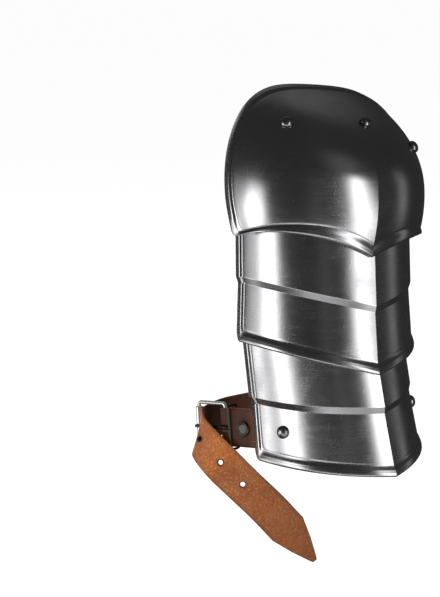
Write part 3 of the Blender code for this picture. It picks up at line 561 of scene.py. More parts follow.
# Materials
class Nodes:
    """Short way to make and join shader nodes."""

    def __init__(self, name):
        self.material = bpy.data.materials.new(name)
        self.material.use_nodes = True
        self.tree = self.material.node_tree
        self.shader = self.tree.nodes["Principled BSDF"]
        self.where = self.add("ShaderNodeTexCoord").outputs["Object"]

    def add(self, kind, **values):
        node = self.tree.nodes.new(kind)
        for key, value in values.items():
            setattr(node, key, value)
        return node

    def link(self, source, target):
        self.tree.links.new(source, target)

    def put(self, socket, value):
        if hasattr(value, "links"):
            self.link(value, socket)
        else:
            socket.default_value = value

    def scaled(self, scale, turn=(0, 0, 0)):
        node = self.add("ShaderNodeMapping")
        node.inputs["Scale"].default_value = scale
        node.inputs["Rotation"].default_value = turn
        self.link(self.where, node.inputs["Vector"])
        return node.outputs["Vector"]

    def noise(self, scale, detail=3.0, rough=0.5, source=None, distortion=0.0):
        node = self.add("ShaderNodeTexNoise")
        node.inputs["Scale"].default_value = scale
        node.inputs["Detail"].default_value = detail
        node.inputs["Roughness"].default_value = rough
        node.inputs["Distortion"].default_value = distortion
        self.link(source or self.where, node.inputs["Vector"])
        return node.outputs["Fac"]

    def cells(self, scale):
        node = self.add("ShaderNodeTexVoronoi")
        node.inputs["Scale"].default_value = scale
        self.link(self.where, node.inputs["Vector"])
        return node.outputs["Distance"]

    def spread(self, value, low, high, to_low=0.0, to_high=1.0):
        node = self.add("ShaderNodeMapRange")
        self.put(node.inputs["Value"], value)
        node.inputs["From Min"].default_value = low
        node.inputs["From Max"].default_value = high
        node.inputs["To Min"].default_value = to_low
        node.inputs["To Max"].default_value = to_high
        return node.outputs["Result"]

    def set(self, **values):
        """Join or set the shader's own sockets, named with _ for each space."""
        for name, value in values.items():
            self.put(self.shader.inputs[name.replace("_", " ")], value)

    def math(self, operation, a, b=0.0):
        node = self.add("ShaderNodeMath", operation=operation)
        self.put(node.inputs[0], a)
        self.put(node.inputs[1], b)
        return node.outputs[0]

    def mix(self, share, a, b):
        node = self.add("ShaderNodeMix", data_type="RGBA")
        self.put(node.inputs["Factor"], share)
        for socket, value in ((node.inputs[6], a), (node.inputs[7], b)):
            if isinstance(value, tuple):
                socket.default_value = (*value, 1.0)
            else:
                self.link(value, socket)
        return node.outputs[2]

    def bump(self, height, distance, strength=1.0, before=None):
        node = self.add("ShaderNodeBump")
        node.inputs["Distance"].default_value = distance
        node.inputs["Strength"].default_value = strength
        self.link(height, node.inputs["Height"])
        if before is not None:
            self.link(before, node.inputs["Normal"])
        return node.outputs["Normal"]

    def named(self, name):
        return self.add("ShaderNodeAttribute", attribute_name=name).outputs["Fac"]


def polished(name, colour, dark, rough_low, rough_high, wave, brush):
    """Polished sheet steel: hammer waves, brushing round the limb, mottled gloss and stray scratches."""
    n = Nodes(name)
    mottle = n.noise(38.0, 4.0, 0.6)
    streak = n.noise(1.0, 2.0, 0.5, n.scaled((30, 30, 620)))
    fine = n.noise(1.0, 2.0, 0.6, n.scaled((110, 110, 1500)))
    patches = n.noise(11.0, 3.0, 0.55)
    smudge = n.noise(16.0, 6.0, 0.68, distortion=0.6)
    rough = n.spread(mottle, 0.3, 0.7, rough_low, rough_high)
    causes = ((fine, 0.3, 0.7, -0.015, 0.015), (patches, 0.35, 0.65, -0.02, 0.03),
              (streak, 0.35, 0.65, -0.014, 0.014), (smudge, 0.50, 0.66, 0.0, 0.055))
    for spread in causes:
        rough = n.math("ADD", rough, n.spread(*spread))
    scratch = None
    for turn in ((0.5, 0.3, 0.4), (-0.9, 0.2, 1.9), (0.2, 1.1, -0.8)):
        line = n.spread(n.noise(1.0, 0.0, 0.5, n.scaled((22, 2600, 50), turn)), 0.82, 0.86)
        scratch = line if scratch is None else n.math("MAXIMUM", scratch, line)
    shade = n.mix(n.spread(mottle, 0.3, 0.75), colour, dark)
    shade = n.mix(n.math("MULTIPLY", scratch, 0.16), shade, tuple(min(1.0, c * 1.5) for c in colour))
    normal = n.bump(n.noise(17.0, 2.0, 0.5), wave)
    normal = n.bump(streak, brush, 1.0, normal)
    normal = n.bump(fine, brush * 0.4, 1.0, normal)
    normal = n.bump(scratch, 0.00001, 0.5, normal)
    rough = n.math("ADD", rough, n.math("MULTIPLY", scratch, 0.05))
    n.set(Metallic=1.0, Base_Color=shade, Roughness=rough, Normal=normal)
    return n.material


def paint():
    """Inside of the plates: black paint, worn to bare steel along the edges."""
    n = Nodes("inside_paint")
    edge = n.named("edge")
    ragged = n.noise(140.0, 5.0, 0.7)
    bite = n.math("ADD", edge, n.spread(ragged, 0.3, 0.7, -0.0016, 0.0016))
    bare = n.spread(bite, 0.0030, 0.0034, 1.0, 0.0)
    chips = n.spread(n.noise(420.0, 3.0, 0.6), 0.71, 0.73)
    near = n.spread(edge, 0.004, 0.016, 1.0, 0.0)
    bare = n.math("MAXIMUM", bare, n.math("MULTIPLY", chips, near))
    tone = n.mix(n.noise(60.0, 4.0, 0.6), (0.016, 0.0155, 0.015), (0.036, 0.034, 0.032))
    rough = n.spread(n.noise(90.0, 3.0, 0.6), 0.3, 0.7, 0.36, 0.52)
    n.set(Base_Color=n.mix(bare, tone, (0.50, 0.50, 0.51)), Metallic=n.math("MULTIPLY", bare, 0.5),
          Roughness=n.math("SUBTRACT", rough, n.math("MULTIPLY", bare, 0.12)))
    normal = n.bump(n.noise(30.0, 3.0, 0.5), 0.0006)
    normal = n.bump(n.noise(900.0, 2.0, 0.5), 0.00003, 1.0, normal)
    normal = n.bump(bare, 0.00008, -1.0, normal)
    n.set(Normal=normal)
    return n.material


def small_metal(name, colour, dark, rough_low, rough_high, dents, pits=0.00002, metal=1.0):
    n = Nodes(name)
    n.set(Metallic=metal, Base_Color=n.mix(n.spread(n.noise(700.0, 4.0, 0.6), 0.35, 0.7), colour, dark),
          Roughness=n.spread(n.noise(300.0, 3.0, 0.6), 0.3, 0.7, rough_low, rough_high))
    normal = n.bump(n.noise(180.0, 2.0, 0.5), dents)
    normal = n.bump(n.noise(2600.0, 2.0, 0.6), pits, 1.0, normal)
    n.set(Normal=normal)
    return n.material


def black_leather():
    n = Nodes("black_leather_fine")
    creases = n.noise(420.0, 4.0, 0.65)
    tone = n.mix(n.noise(50.0, 4.0, 0.6), (0.012, 0.0115, 0.011), (0.034, 0.031, 0.029))
    edge = n.named("edge")
    worn = n.math("MULTIPLY", n.spread(edge, 0.0003, 0.0016, 1.0, 0.0), n.spread(creases, 0.4, 0.6))
    n.set(Base_Color=n.mix(worn, tone, (0.075, 0.062, 0.052)), Specular_IOR_Level=0.45,
          Roughness=n.spread(creases, 0.3, 0.7, 0.42, 0.60))
    normal = n.bump(n.cells(1500.0), 0.00010, 0.7)
    normal = n.bump(creases, 0.00016, 1.0, normal)
    n.set(Normal=normal)
    return n.material


def brown_leather(name, grain_face):
    """Veg-tanned strap: glossy grain side, matte flesh side, dark cut edges. Grain on the side named."""
    n = Nodes(name)
    arm = grain_face > 0
    side = n.named("side")
    grain = n.spread(side, -0.3 * grain_face, 0.3 * grain_face)
    edge = n.spread(n.math("ABSOLUTE", side), 0.45, 0.75, 1.0, 0.0)
    ragged = n.spread(n.noise(500.0), 0.3, 0.7, -0.0003, 0.0003)
    rim = n.spread(n.math("ADD", n.named("hole"), ragged), 0.0028, 0.0040, 1.0, 0.0)
    margin = n.spread(n.math("ABSOLUTE", n.named("across")), 0.0125, 0.0158)
    specks = n.noise(620.0, 4.0, 0.7)
    base = n.mix(n.spread(n.noise(34.0, 5.0, 0.6), 0.3, 0.7), (0.54, 0.172, 0.040), (0.33, 0.092, 0.022))
    base = n.mix(n.spread(specks, 0.50, 0.70, 0.0, 0.75), base, (0.19, 0.055, 0.016))
    # Pale specks: painted glints of the grain's gloss
    base = n.mix(n.spread(specks, 0.46, 0.34, 0.0, 0.8), base, (0.72, 0.33, 0.130))
    base = n.mix(n.math("MULTIPLY", margin, 0.55), base, (0.16, 0.052, 0.018))
    gloss = n.spread(specks, 0.3, 0.7, 0.28, 0.46)
    light, deep = (0.27, 0.122, 0.068), (0.18, 0.077, 0.041)
    if arm:
        # Painted shade: the arm strap's flesh side is darker than the shoulder strap's, for its run in shadow
        # behind the plates
        light, deep = (0.150, 0.066, 0.036), (0.085, 0.035, 0.019)
        # Painted shade: darker after the roller and toward the tip.
        along = n.named("along")
        # Painted shade along the tail, standing in for how the light falls on it
        painted_tail_shade = n.math("MINIMUM", n.spread(along, 0.487, 0.512, 0.0, 0.58),
                         n.spread(along, 0.517, 0.567, 0.58, 0.0))
        painted_tail_shade = n.math("MAXIMUM", painted_tail_shade, n.spread(along, 0.594, 0.672, 0.0, 0.58))
        # Painted shadow beside the fold, where the tail and the buckle shade the strap; rougher there too
        painted_fold_shadow = n.spread(along, 0.062, 0.105, 0.93, 0.0)
        base = n.mix(painted_tail_shade, base, (0.10, 0.030, 0.010))
        base = n.mix(painted_fold_shadow, base, (0.020, 0.006, 0.003))
        gloss = n.math("ADD", gloss, n.math("MULTIPLY", painted_fold_shadow, 0.25))
    flesh_noise = n.noise(1.0, 5.0, 0.7, n.scaled((300, 300, 120)))
    shade = n.mix(grain, n.mix(n.spread(flesh_noise, 0.3, 0.7), light, deep), base)
    shade = n.mix(rim, shade, (0.060, 0.020, 0.008))
    shade = n.mix(edge, shade, (0.105, 0.036, 0.014))
    rough = n.add("ShaderNodeMix", data_type="FLOAT")
    n.link(grain, rough.inputs["Factor"])
    rough.inputs[2].default_value = 0.82
    n.link(gloss, rough.inputs[3])
    normal = n.bump(n.cells(950.0), 0.00016, 0.6)
    normal = n.bump(specks, 0.00030, 1.0, normal)
    normal = n.bump(n.noise(60.0, 3.0, 0.5), 0.0005, 0.9, normal)
    n.set(Base_Color=shade, Roughness=rough.outputs[0], Specular_IOR_Level=0.5, Normal=normal)
    return n.material


STEEL = polished("polished_steel_fine", (0.60, 0.60, 0.61), (0.50, 0.50, 0.51), 0.20, 0.26, 0.00026, 3e-6)
PAINT = paint()
DARK_STEEL = small_metal("rivet_steel_fine", (0.44, 0.44, 0.45), (0.26, 0.26, 0.27), 0.24, 0.34, 0.00005)
ZINC = small_metal("zinc_fine", (0.60, 0.60, 0.58), (0.42, 0.42, 0.41), 0.34, 0.50, 0.00010, metal=0.55)
NICKEL = small_metal("nickel_fine", (0.80, 0.79, 0.75), (0.72, 0.71, 0.67), 0.20, 0.30, 0.00002, 5e-6, 0.8)
# Painted shade: a near-black copy of the buckle metal for the arm buckle's prong and keeper and the fold
# rivet's cap, which lie in shade
SHADED_WIRE = small_metal("shaded_wire_fine", (0.13, 0.12, 0.11), (0.06, 0.055, 0.05), 0.28, 0.42, 0.00006)
BLACK_LEATHER = black_leather()
ARM_LEATHER = brown_leather("arm_strap_leather_fine", 1)
SHOULDER_LEATHER = brown_leather("shoulder_strap_leather_fine", -1)


# Meshes
def new_piece(name, verts, faces, looks, smooth=True):
    mesh = bpy.data.meshes.new(name)
    mesh.from_pydata([tuple(v) for v in verts], [], [tuple(f) for f in faces])
    piece = bpy.data.objects.new(name, mesh)
    bpy.context.scene.collection.objects.link(piece)
    for look in looks:
        mesh.materials.append(look)
    if smooth:
        mesh.polygons.foreach_set("use_smooth", [True] * len(mesh.polygons))
    return piece


def closed_piece(name, verts, faces, looks, smooth=True):
    """Piece with its faces turned outward."""
    piece = new_piece(name, verts, faces, looks, smooth)
    work = bmesh.new()
    work.from_mesh(piece.data)
    bmesh.ops.recalc_face_normals(work, faces=work.faces)
    work.to_mesh(piece.data)
    work.free()
    return piece


def attribute(piece, name, values):
    made = piece.data.attributes.new(name, "FLOAT", "POINT")
    made.data.foreach_set("value", [float(v) for v in values])


def bake(piece):
    """Bake the modifiers into the piece's own mesh."""
    graph = bpy.context.evaluated_depsgraph_get()
    baked = bpy.data.meshes.new_from_object(piece.evaluated_get(graph))
    piece.modifiers.clear()
    piece.data = baked


def dress(piece, node, body="pauldron"):
    """The body that a piece rides on, and the node that it stands for."""
    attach(piece, body)
    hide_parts(node)
    return piece


def ring_faces(a, b, count):
    """Faces between two closed rings of points, given each ring's first."""
    return [(a + k, a + (k + 1) % count, b + (k + 1) % count, b + k) for k in range(count)]


def grid_faces(rows, columns):
    corners = [i * columns + j for i in range(rows - 1) for j in range(columns - 1)]
    return [(k, k + columns, k + columns + 1, k + 1) for k in corners]


def thicken(piece, thickness, centre=Vector(), inner_look=0):
    """Turn an open sheet's faces away from a point, and give it a wall on the side toward the point."""
    work = bmesh.new()
    work.from_mesh(piece.data)
    if sum(f.normal.dot(f.calc_center_median() - centre) for f in work.faces) < 0:
        bmesh.ops.reverse_faces(work, faces=work.faces)
    work.to_mesh(piece.data)
    work.free()
    wall = piece.modifiers.new("wall", "SOLIDIFY")
    wall.thickness = thickness
    wall.offset = -1.0
    wall.use_even_offset = True
    wall.material_offset = inner_look


def smooth_share(x):
    x = min(1.0, max(0.0, x))
    return x * x * (3 - 2 * x)


def border_lift(distance, flank, foot=BAND_FOOT):
    """Height of the raised border at a distance in from the edge. Flank: 1 at a side, 0 at the bottom."""
    top = BAND_TOP + SIDE_TOP * flank
    rise = smooth_share((foot - distance) / (foot - top))
    crown = CROWN * (1 - flank) * sin(pi * min(1.0, max(0.0, distance / top)))
    groove = -GROOVE * exp(-((distance - foot - GROOVE_AT) / GROOVE_WIDTH) ** 2)
    roll = 0.0
    if distance < ROLL:
        roll = sqrt(max(0.0, ROLL * ROLL - (ROLL - distance) ** 2)) - ROLL
    return BAND_LIFT * rise + crown * rise + groove + roll * ROLL_SHARE


def side_lean(distance):
    """The border along a plate's side leans back a little toward its edge."""
    return BAND_LEAN * max(0.0, 1 - distance / BAND)


def thick_plate(name, verts, faces, edge, matrix, node):
    """Close an outer skin into a sheet: outside polished, inside painted but for its edge."""
    piece = new_piece(name, verts, faces, (STEEL, PAINT))
    attribute(piece, "edge", edge)
    thicken(piece, WALL, inner_look=1)
    bake(piece)
    piece.data.transform(matrix)
    dress(piece, node)


# The cop
def cop_loop():
    """Boundary of the cop: bottom edge from left to right, then back over the rim, and the rim's start."""
    low = -(COP["edge_side"] + COP["corner_hang"])
    corner = 90.0 - degrees(abs(COP["rim_side"]) / cop_radius(86.0, low))
    # Closer together at the ridge
    near = [0.0078, 0.0052, 0.0026, 0.0]
    half = [s for s in (1.0 - i / COP_EDGE_STEPS for i in range(COP_EDGE_STEPS)) if s > near[0]] + near
    angles = [-s * corner for s in half] + [s * corner for s in reversed(half[:-1])]
    loop = [skin_point("cop", a, cop_edge_height(a, corner)) for a in angles]
    first_rim = len(loop)
    turn_low = degrees(atan2(loop[-1].x, loop[-1].z))
    loop += [rim_point(turn_low - 2 * turn_low * i / COP_RIM_STEPS) for i in range(1, COP_RIM_STEPS)]
    # Round the two corners between edge and rim
    count = len(loop)
    for _ in range(CORNER_ROUNDS):
        old = [p.copy() for p in loop]
        for middle in (0, first_rim - 1):
            for d in range(-CORNER_REACH, CORNER_REACH + 1):
                k = (middle + d) % count
                loop[k] = old[k].lerp((old[k - 1] + old[(k + 1) % count]) / 2, 0.6)
    return loop, first_rim


def cop_plate():
    """Rings of points from a pole on the front out to the boundary, close together along the border."""
    centre = skin_point("cop", 0.0, 0.025)
    pole = centre.normalized()
    loop, first_rim = cop_loop()
    count = len(loop)
    plans = []
    for point in loop:
        way = point.normalized()
        length = pole.angle(way) * (point.length + centre.length) / 2
        start = 1 - COP_BORDER / length
        shares = [start * (i / COP_RINGS) for i in range(1, COP_RINGS + 1)]
        plan = [(share, (1 - share) * length) for share in shares]
        plan += [(1 - d / length, d) for d in (COP_FIRST_ROW,) + BORDER_ROWS]
        plans.append((way, plan))
    rings = len(plans[0][1])
    verts, edge = [cop_along(pole)], [0.1]
    for j in range(rings):
        for i, (way, plan) in enumerate(plans):
            share, distance = plan[j]
            spot = cop_along(slerp(pole, way, share))
            on_rim = smooth_share(min(i - first_rim, count - i) / 12)
            lift = border_lift(distance, on_rim, COP_BAND_FOOT) - on_rim * side_lean(distance)
            verts.append(spot + spot.normalized() * lift)
            edge.append(distance)
    faces = [(0, 1 + i, 1 + (i + 1) % count) for i in range(count)]
    for a in range(1, 1 + (rings - 1) * count, count):
        for i in range(count):
            n = (i + 1) % count
            faces.append((a + i, a + count + i, a + count + n, a + n))
    thick_plate("shoulder_cop_steel", verts, faces, edge, place_matrix(COP), "shoulder_cop")


# The lames
def soft_min(a, b, width):
    share = max(0.0, width - abs(a - b)) / width
    return min(a, b) - share * share * width * 0.25


def lame_plate(name):
    """Columns of points from side to side, close together along the borders, the ridge and the step."""
    plate = LAMES[name]
    half = plate["half_width"]
    sides = (0.0, 0.0002, 0.0004, 0.0007, 0.0011, 0.0015, 0.0020, 0.0027, 0.0034, 0.0041)
    sides += tuple(0.0047 + 0.0006 * i for i in range(10)) + (0.0108,)
    columns = [90.0 - degrees(s / half) for s in sides]
    spread = [columns[-1] * (1 - i / LAME_COLUMNS) for i in range(1, LAME_COLUMNS)]
    columns += [a for a in spread if a > 1.2] + [1.0, 0.6, 0.3, 0.0]
    angles = [-a for a in columns] + list(reversed(columns[:-1]))
    # Rows along the step's run, from its beginning, and after it
    run = (-0.002, -0.001, -0.0004, 0.0, 0.0005, 0.0013, 0.0022, 0.0032, 0.0042, 0.0049, 0.0053)
    after = (0.0, 0.0003, 0.0008, 0.0016)
    verts, edge = [], []
    for angle in angles:
        top, step, low = lame_edges(plate, angle)
        begin = step - STEP_RUN
        downs = [top + (begin + run[0] - top) * i / LAME_ROWS for i in range(LAME_ROWS)]
        downs += [begin + d for d in run] + [step + d for d in after]
        foot = step + after[-1]
        downs += [foot + (low - LAME_BORDER - foot) * i / LAME_LOW_ROWS for i in range(1, LAME_LOW_ROWS + 1)]
        downs += [low - d for d in (LAME_FIRST_ROW,) + BORDER_ROWS]
        side = radians(90.0 - abs(angle)) * half
        for down in downs:
            distance = max(0.0, soft_min(side, low - down, 0.006))
            flank = smooth_share(0.5 + (low - down - side) / 0.008)
            lift = border_lift(distance, flank) - side_lean(side)
            verts.append(skin_point(name, angle, -down) + skin_normal(name, angle, -down) * lift)
            edge.append(min(distance, down - top))
    faces = grid_faces(len(angles), len(downs))
    thick_plate(name + "_lame_steel", verts, faces, edge, place_matrix(plate), name + "_lame")


# Turned pieces
def turned(name, profile, sides, place, look, node, body="pauldron", wobble=0.0):
    """Profile of radius and height turned about a place's Z, a little uneven by wobble."""
    verts, faces, rows = [], [], []
    for k, (radius, height) in enumerate(profile):
        if radius < 1e-7:
            rows.append([len(verts)])
            verts.append(Vector((0, 0, height)))
            continue
        rows.append(list(range(len(verts), len(verts) + sides)))
        for i in range(sides):
            a = 2 * pi * i / sides
            spot = Vector((radius * cos(a), radius * sin(a), height))
            if wobble:
                spot += noise.noise_vector((place @ spot) * 420.0) * wobble
            verts.append(spot)
    closed = len(rows[0]) > 1 and len(rows[-1]) > 1
    pairs = list(zip(rows, rows[1:])) + ([(rows[-1], rows[0])] if closed else [])
    for upper, lower in pairs:
        for i in range(sides):
            n = (i + 1) % sides
            if len(upper) == 1:
                faces.append((upper[0], lower[i], lower[n]))
            elif len(lower) == 1:
                faces.append((upper[i], lower[0], upper[n]))
            else:
                faces.append((upper[i], lower[i], lower[n], upper[n]))
    piece = closed_piece(name, [place @ v for v in verts], faces, (look,))
    dress(piece, node, body)


def fine_rivet(name, place, stack, head_up):
    """Ball head with a tight undercut, shank, and a peened end."""
    profile = []
    for i in range(19):
        a = radians(92.0 * i / 18)
        profile.append((HEAD_R * sin(a) ** 0.96, GAP + 0.0004 + (head_up - 0.0004) * max(0.0, cos(a))))
    profile += [(HEAD_R * 0.985, GAP + 0.00015), (HEAD_R * 0.955, GAP), (SHANK_R, GAP), (SHANK_R, -stack),
                (PEEN_R * 0.9, -stack), (PEEN_R, -stack - 0.0003)]
    for wide, low in ((1.0, 0.5), (0.9, 0.8), (0.62, 1.0), (0.3, 1.05), (0.0, 1.02)):
        profile.append((PEEN_R * wide, -stack - PEEN_T * low))
    turned(name + "_ball", profile, 40, place, DARK_STEEL, name, wobble=0.00003)


def fine_washer(name, place, depth, radius=WASHER_R):
    """Flat disc with rounded edges, pressed a little hollow round its hole."""
    r = 0.00025
    low = -depth - WASHER_T
    profile = [(HOLE_R, -depth - r), (HOLE_R + r, -depth), (radius - r, -depth),
               (radius - r * 0.3, -depth - r * 0.3), (radius, -depth - r), (radius, low + r),
               (radius - r * 0.3, low + r * 0.3), (radius - r, low), (radius * 0.8, low - 0.00008),
               (radius * 0.55, low - 0.00012), (HOLE_R + 0.0009, low - 0.00010), (HOLE_R + r, low),
               (HOLE_R, low + r)]
    turned(name + "_disc", profile, 56, place, ZINC, name, wobble=0.00005)


# Straps
def fine_ribbon(name, stations, thickness, look, node, holes):
    """Strap with rounded edges. Each point keeps its side, its way along and across, and its nearest hole."""
    full = thickness / 2
    verts, side, along, width = [], [], [], []
    gone, last = 0.0, stations[0][0]
    for centre, across, outward in stations:
        gone += (centre - last).length
        last = centre
        normal = outward.normalized()
        half = across.length
        unit = across / half
        lanes = [-half + inset for inset in EDGE_LANES]
        lanes += [(k / 8 - 1) * (half - 0.0014) for k in range(1, 16)]
        lanes += [half - inset for inset in reversed(EDGE_LANES)]
        for face, row in ((1.0, lanes), (-1.0, lanes[::-1])):
            for u in row:
                inset = half - abs(u)
                drop = 0.0
                if inset < EDGE_ROUND:
                    drop = full * EDGE_SHARE * (1 - sqrt(max(0.0, 1 - (1 - inset / EDGE_ROUND) ** 2)))
                slim = 0.00016 * exp(-(inset / 0.0035) ** 2)
                verts.append(centre + unit * u + normal * ((full - drop - slim) * face))
                side.append(face if inset > 0.00025 else 0.0)
                along.append(gone)
                width.append(u)
    count = 2 * len(lanes)
    faces = []
    for a in range(0, len(verts) - count, count):
        faces += ring_faces(a, a + count, count)
    faces += [tuple(range(count)), tuple(reversed(range(len(verts) - count, len(verts))))]
    piece = closed_piece(name, verts, faces, (look,))
    distance = [min((v - h).length for h in holes) for v in verts]
    for kept, values in (("side", side), ("along", along), ("across", width), ("hole", distance)):
        attribute(piece, kept, values)
    return dress(piece, node)


def punch(piece, tools):
    """Cut holes and slots, then drop the cutters."""
    for tool in tools:
        step = piece.modifiers.new("hole", "BOOLEAN")
        step.operation = "DIFFERENCE"
        step.solver = "EXACT"
        step.object = tool
        bpy.context.view_layer.update()
        bake(piece)
    for tool in tools:
        bpy.data.objects.remove(tool, do_unlink=True)


def round_tool(radius, start, end):
    """Cutter for a round hole."""
    sides = 28
    way = end - start
    place = frame_at(start, way, Vector((0, 0, 1)) if abs(way.normalized().z) < 0.9 else Vector((1, 0, 0)))
    verts = []
    for z in (0.0, way.length):
        for i in range(sides):
            a = 2 * pi * i / sides
            verts.append(place @ Vector((radius * cos(a), radius * sin(a), z)))
    faces = ring_faces(0, sides, sides) + [tuple(reversed(range(sides))), tuple(range(sides, 2 * sides))]
    return closed_piece("tool", verts, faces, (), smooth=False)


def slot_tool(place, low):
    xs, ys, zs = zip(low, SLOT_HIGH)
    verts = [place @ Vector((x, y, z)) for x in xs for y in ys for z in zs]
    faces = [(0, 1, 3, 2), (4, 6, 7, 5), (0, 4, 5, 1), (2, 3, 7, 6), (0, 2, 6, 4), (1, 5, 7, 3)]
    return closed_piece("tool", verts, faces, (), smooth=False)


def fine_route(rows, tip):
    """Smooth run through a strap's stations, then many more to its blunt tip."""
    out = [(Vector(c), Vector(a), Vector(f)) for c, a, f in smooth_stations(rows, 12)]
    centre, across, face = out[-1]
    for k in range(1, 33):
        share = k / 32
        for (s0, w0), (s1, w1) in zip(TIP_TAPER, TIP_TAPER[1:]):
            if s0 <= share <= s1:
                width = w0 + (w1 - w0) * (share - s0) / (s1 - s0)
        out.append((centre.lerp(Vector(tip), share), across * width, face))
    return out


# Wires
def fine_wire(name, points, radii, look, node, body="pauldron", closed=True):
    """Round wire on a smooth run of points. Radii: one, or a function of the share of the way."""
    sides, parts = 18, 5
    keys = [tuple(p) for p in points]
    if closed:
        keys = [keys[-1]] + keys + keys[:2]
    spots = [Vector(p) for p in smooth_stations(keys, parts)]
    if closed:
        spots = spots[parts:parts + parts * len(points)]
    count = len(spots)
    radius_at = radii if callable(radii) else lambda share: radii
    verts, faces = [], []
    plane = None
    for i, spot in enumerate(spots):
        before, after = (i - 1, (i + 1) % count) if closed else (max(i - 1, 0), min(i + 1, count - 1))
        ahead = (spots[after] - spots[before]).normalized()
        if plane is None:
            seed = Vector((0, 0, 1)) if abs(ahead.z) < 0.8 else Vector((1, 0, 0))
            plane = ahead.cross(seed).normalized()
        plane = (plane - ahead * plane.dot(ahead)).normalized()
        other = ahead.cross(plane)
        radius = radius_at(i / (count - 1))
        for k in range(sides):
            a = 2 * pi * k / sides
            verts.append(spot + (plane * cos(a) + other * sin(a)) * radius)
    for i in range(count if closed else count - 1):
        faces += ring_faces(i * sides, (i + 1) % count * sides, sides)
    if not closed:
        first, last = len(verts), len(verts) + 1
        verts.append(spots[0] + (spots[0] - spots[1]).normalized() * radius_at(0.0) * 0.5)
        verts.append(spots[-1] + (spots[-1] - spots[-2]).normalized() * radius_at(1.0) * 0.5)
        for k in range(sides):
            n = (k + 1) % sides
            faces += [(first, n, k), (last, (count - 1) * sides + k, (count - 1) * sides + n)]
    piece = closed_piece(name, verts, faces, (look,))
    dress(piece, node, body)


def fine_buckle(prefix, place, size, bodies, prong_look, reach_over):
    """Frame, roller and prong of a buckle. Its bar lies on Y, its roller one length along X."""
    half, length = size[0] / 2, size[1]
    corners = [Vector((x, y, 0)) for x, y in corner_run(0.0, length, half, FRAME_BEND, 6)]
    spots = []
    for a, b in zip(corners, corners[1:] + corners[:1]):
        spots.append(a)
        if (b - a).length > 0.008:
            spots += [a.lerp(b, t) for t in (0.05, 0.2, 0.4, 0.6, 0.8, 0.95)]
    spots = [place @ p for p in spots]
    fine_wire(prefix + "_frame_wire", spots, WIRE_R, NICKEL, prefix + "_frame", bodies[0])
    end = half - 0.0036
    bore = WIRE_R + GAP
    r = 0.00035
    side = [(bore, end), (ROLLER_R - r, end), (ROLLER_R - r * 0.3, end - r * 0.3), (ROLLER_R, end - r)]
    profile = side + [(ROLLER_R, end * t) for t in (0.8, 0.5, 0.2, -0.2, -0.5, -0.8)]
    profile += [(radius, -level) for radius, level in reversed(side)]
    along = Matrix.Translation((length, 0, 0)) @ Matrix.Rotation(pi / 2, 4, "X")
    turned(prefix + "_roller_tube", profile, 48, place @ along, NICKEL, prefix + "_roller",
           bodies[2])
    eye = WIRE_R + GAP + PRONG_R
    tip = ROLLER_R + PRONG_R + GAP
    run = [(length + reach_over, tip), (length + reach_over / 2, tip), (length, tip)]
    for share, high in ((0.8, 0.85), (0.6, 0.55), (0.35, 0.25)):
        run.append((length * share, tip * high + eye * (1 - high)))
    run += [(eye * cos(radians(a)), eye * sin(radians(a))) for a in range(60, 326, 14)]
    fine_wire(prefix + "_prong_wire", [place @ Vector((x, 0, z)) for x, z in run],
              lambda share: PRONG_R * (0.72 + 0.28 * min(1.0, share * 9)), prong_look, prefix + "_prong",
              bodies[1], closed=False)


# Leathers
def fine_leather(side):
    """Leather from the cop over the upper lame to the lower one, bent over their rivets and edges."""
    cop_r, upper_r, lower_r = (PLACES["%s_rivet_%s" % (p, side)].translation for p in PLATES)
    tops = [(place_matrix(LAMES[p]) @ skin_point(p, 0, -LAMES[p]["top_side"])).z for p in PLATES[1:]]
    stops = (
        ("cop", cop_r, cop_r.z + 0.011),
        ("cop", cop_r, cop_r.z),
        ("cop", cop_r, cop_r.z - 0.011),
        ("upper", upper_r, tops[0] + 0.006),
        ("upper", upper_r, upper_r.z),
        ("upper", upper_r, upper_r.z - 0.012),
        ("lower", lower_r, tops[1] + 0.006),
        ("lower", lower_r, lower_r.z),
        ("lower", lower_r, lower_r.z - 0.015),
    )
    verts, edge = [], []
    columns = 11
    for c in range(columns):
        share = -1 + 2 * c / (columns - 1)
        column = []
        for row, (plate, rivet, level) in enumerate(stops):
            angle = world_angle(rivet)
            spread = degrees(LEATHER_W / 2 / reach(plate, angle, level)) * share * (0.72 if row == 0 else 1.0)
            depth = LINING + (COP_LINING if plate == "cop" else 0.0)
            column.append(lining_point(plate, angle + spread, level, depth)[0])
        fine = smooth_stations([tuple(p) for p in eased(column)], 6)
        count = len(fine)
        verts += [Vector(p) for p in fine]
        side_edge = (1 - abs(share)) * LEATHER_W / 2
        edge += [min(side_edge, j * 0.002, (count - 1 - j) * 0.002) for j in range(count)]
    piece = new_piece("leather_%s_black" % side, verts, grid_faces(columns, count), (BLACK_LEATHER,))
    attribute(piece, "edge", edge)
    thicken(piece, LEATHER_T, Vector((AXIS.x, AXIS.y, cop_r.z - 0.08)))
    soft = piece.modifiers.new("edge", "BEVEL")
    soft.width = 0.0006
    soft.segments = 2
    soft.limit_method = "ANGLE"
    soft.angle_limit = radians(50)
    bake(piece)
    piece.data.polygons.foreach_set("use_smooth", [True] * len(piece.data.polygons))
    dress(piece, "leather_" + side)


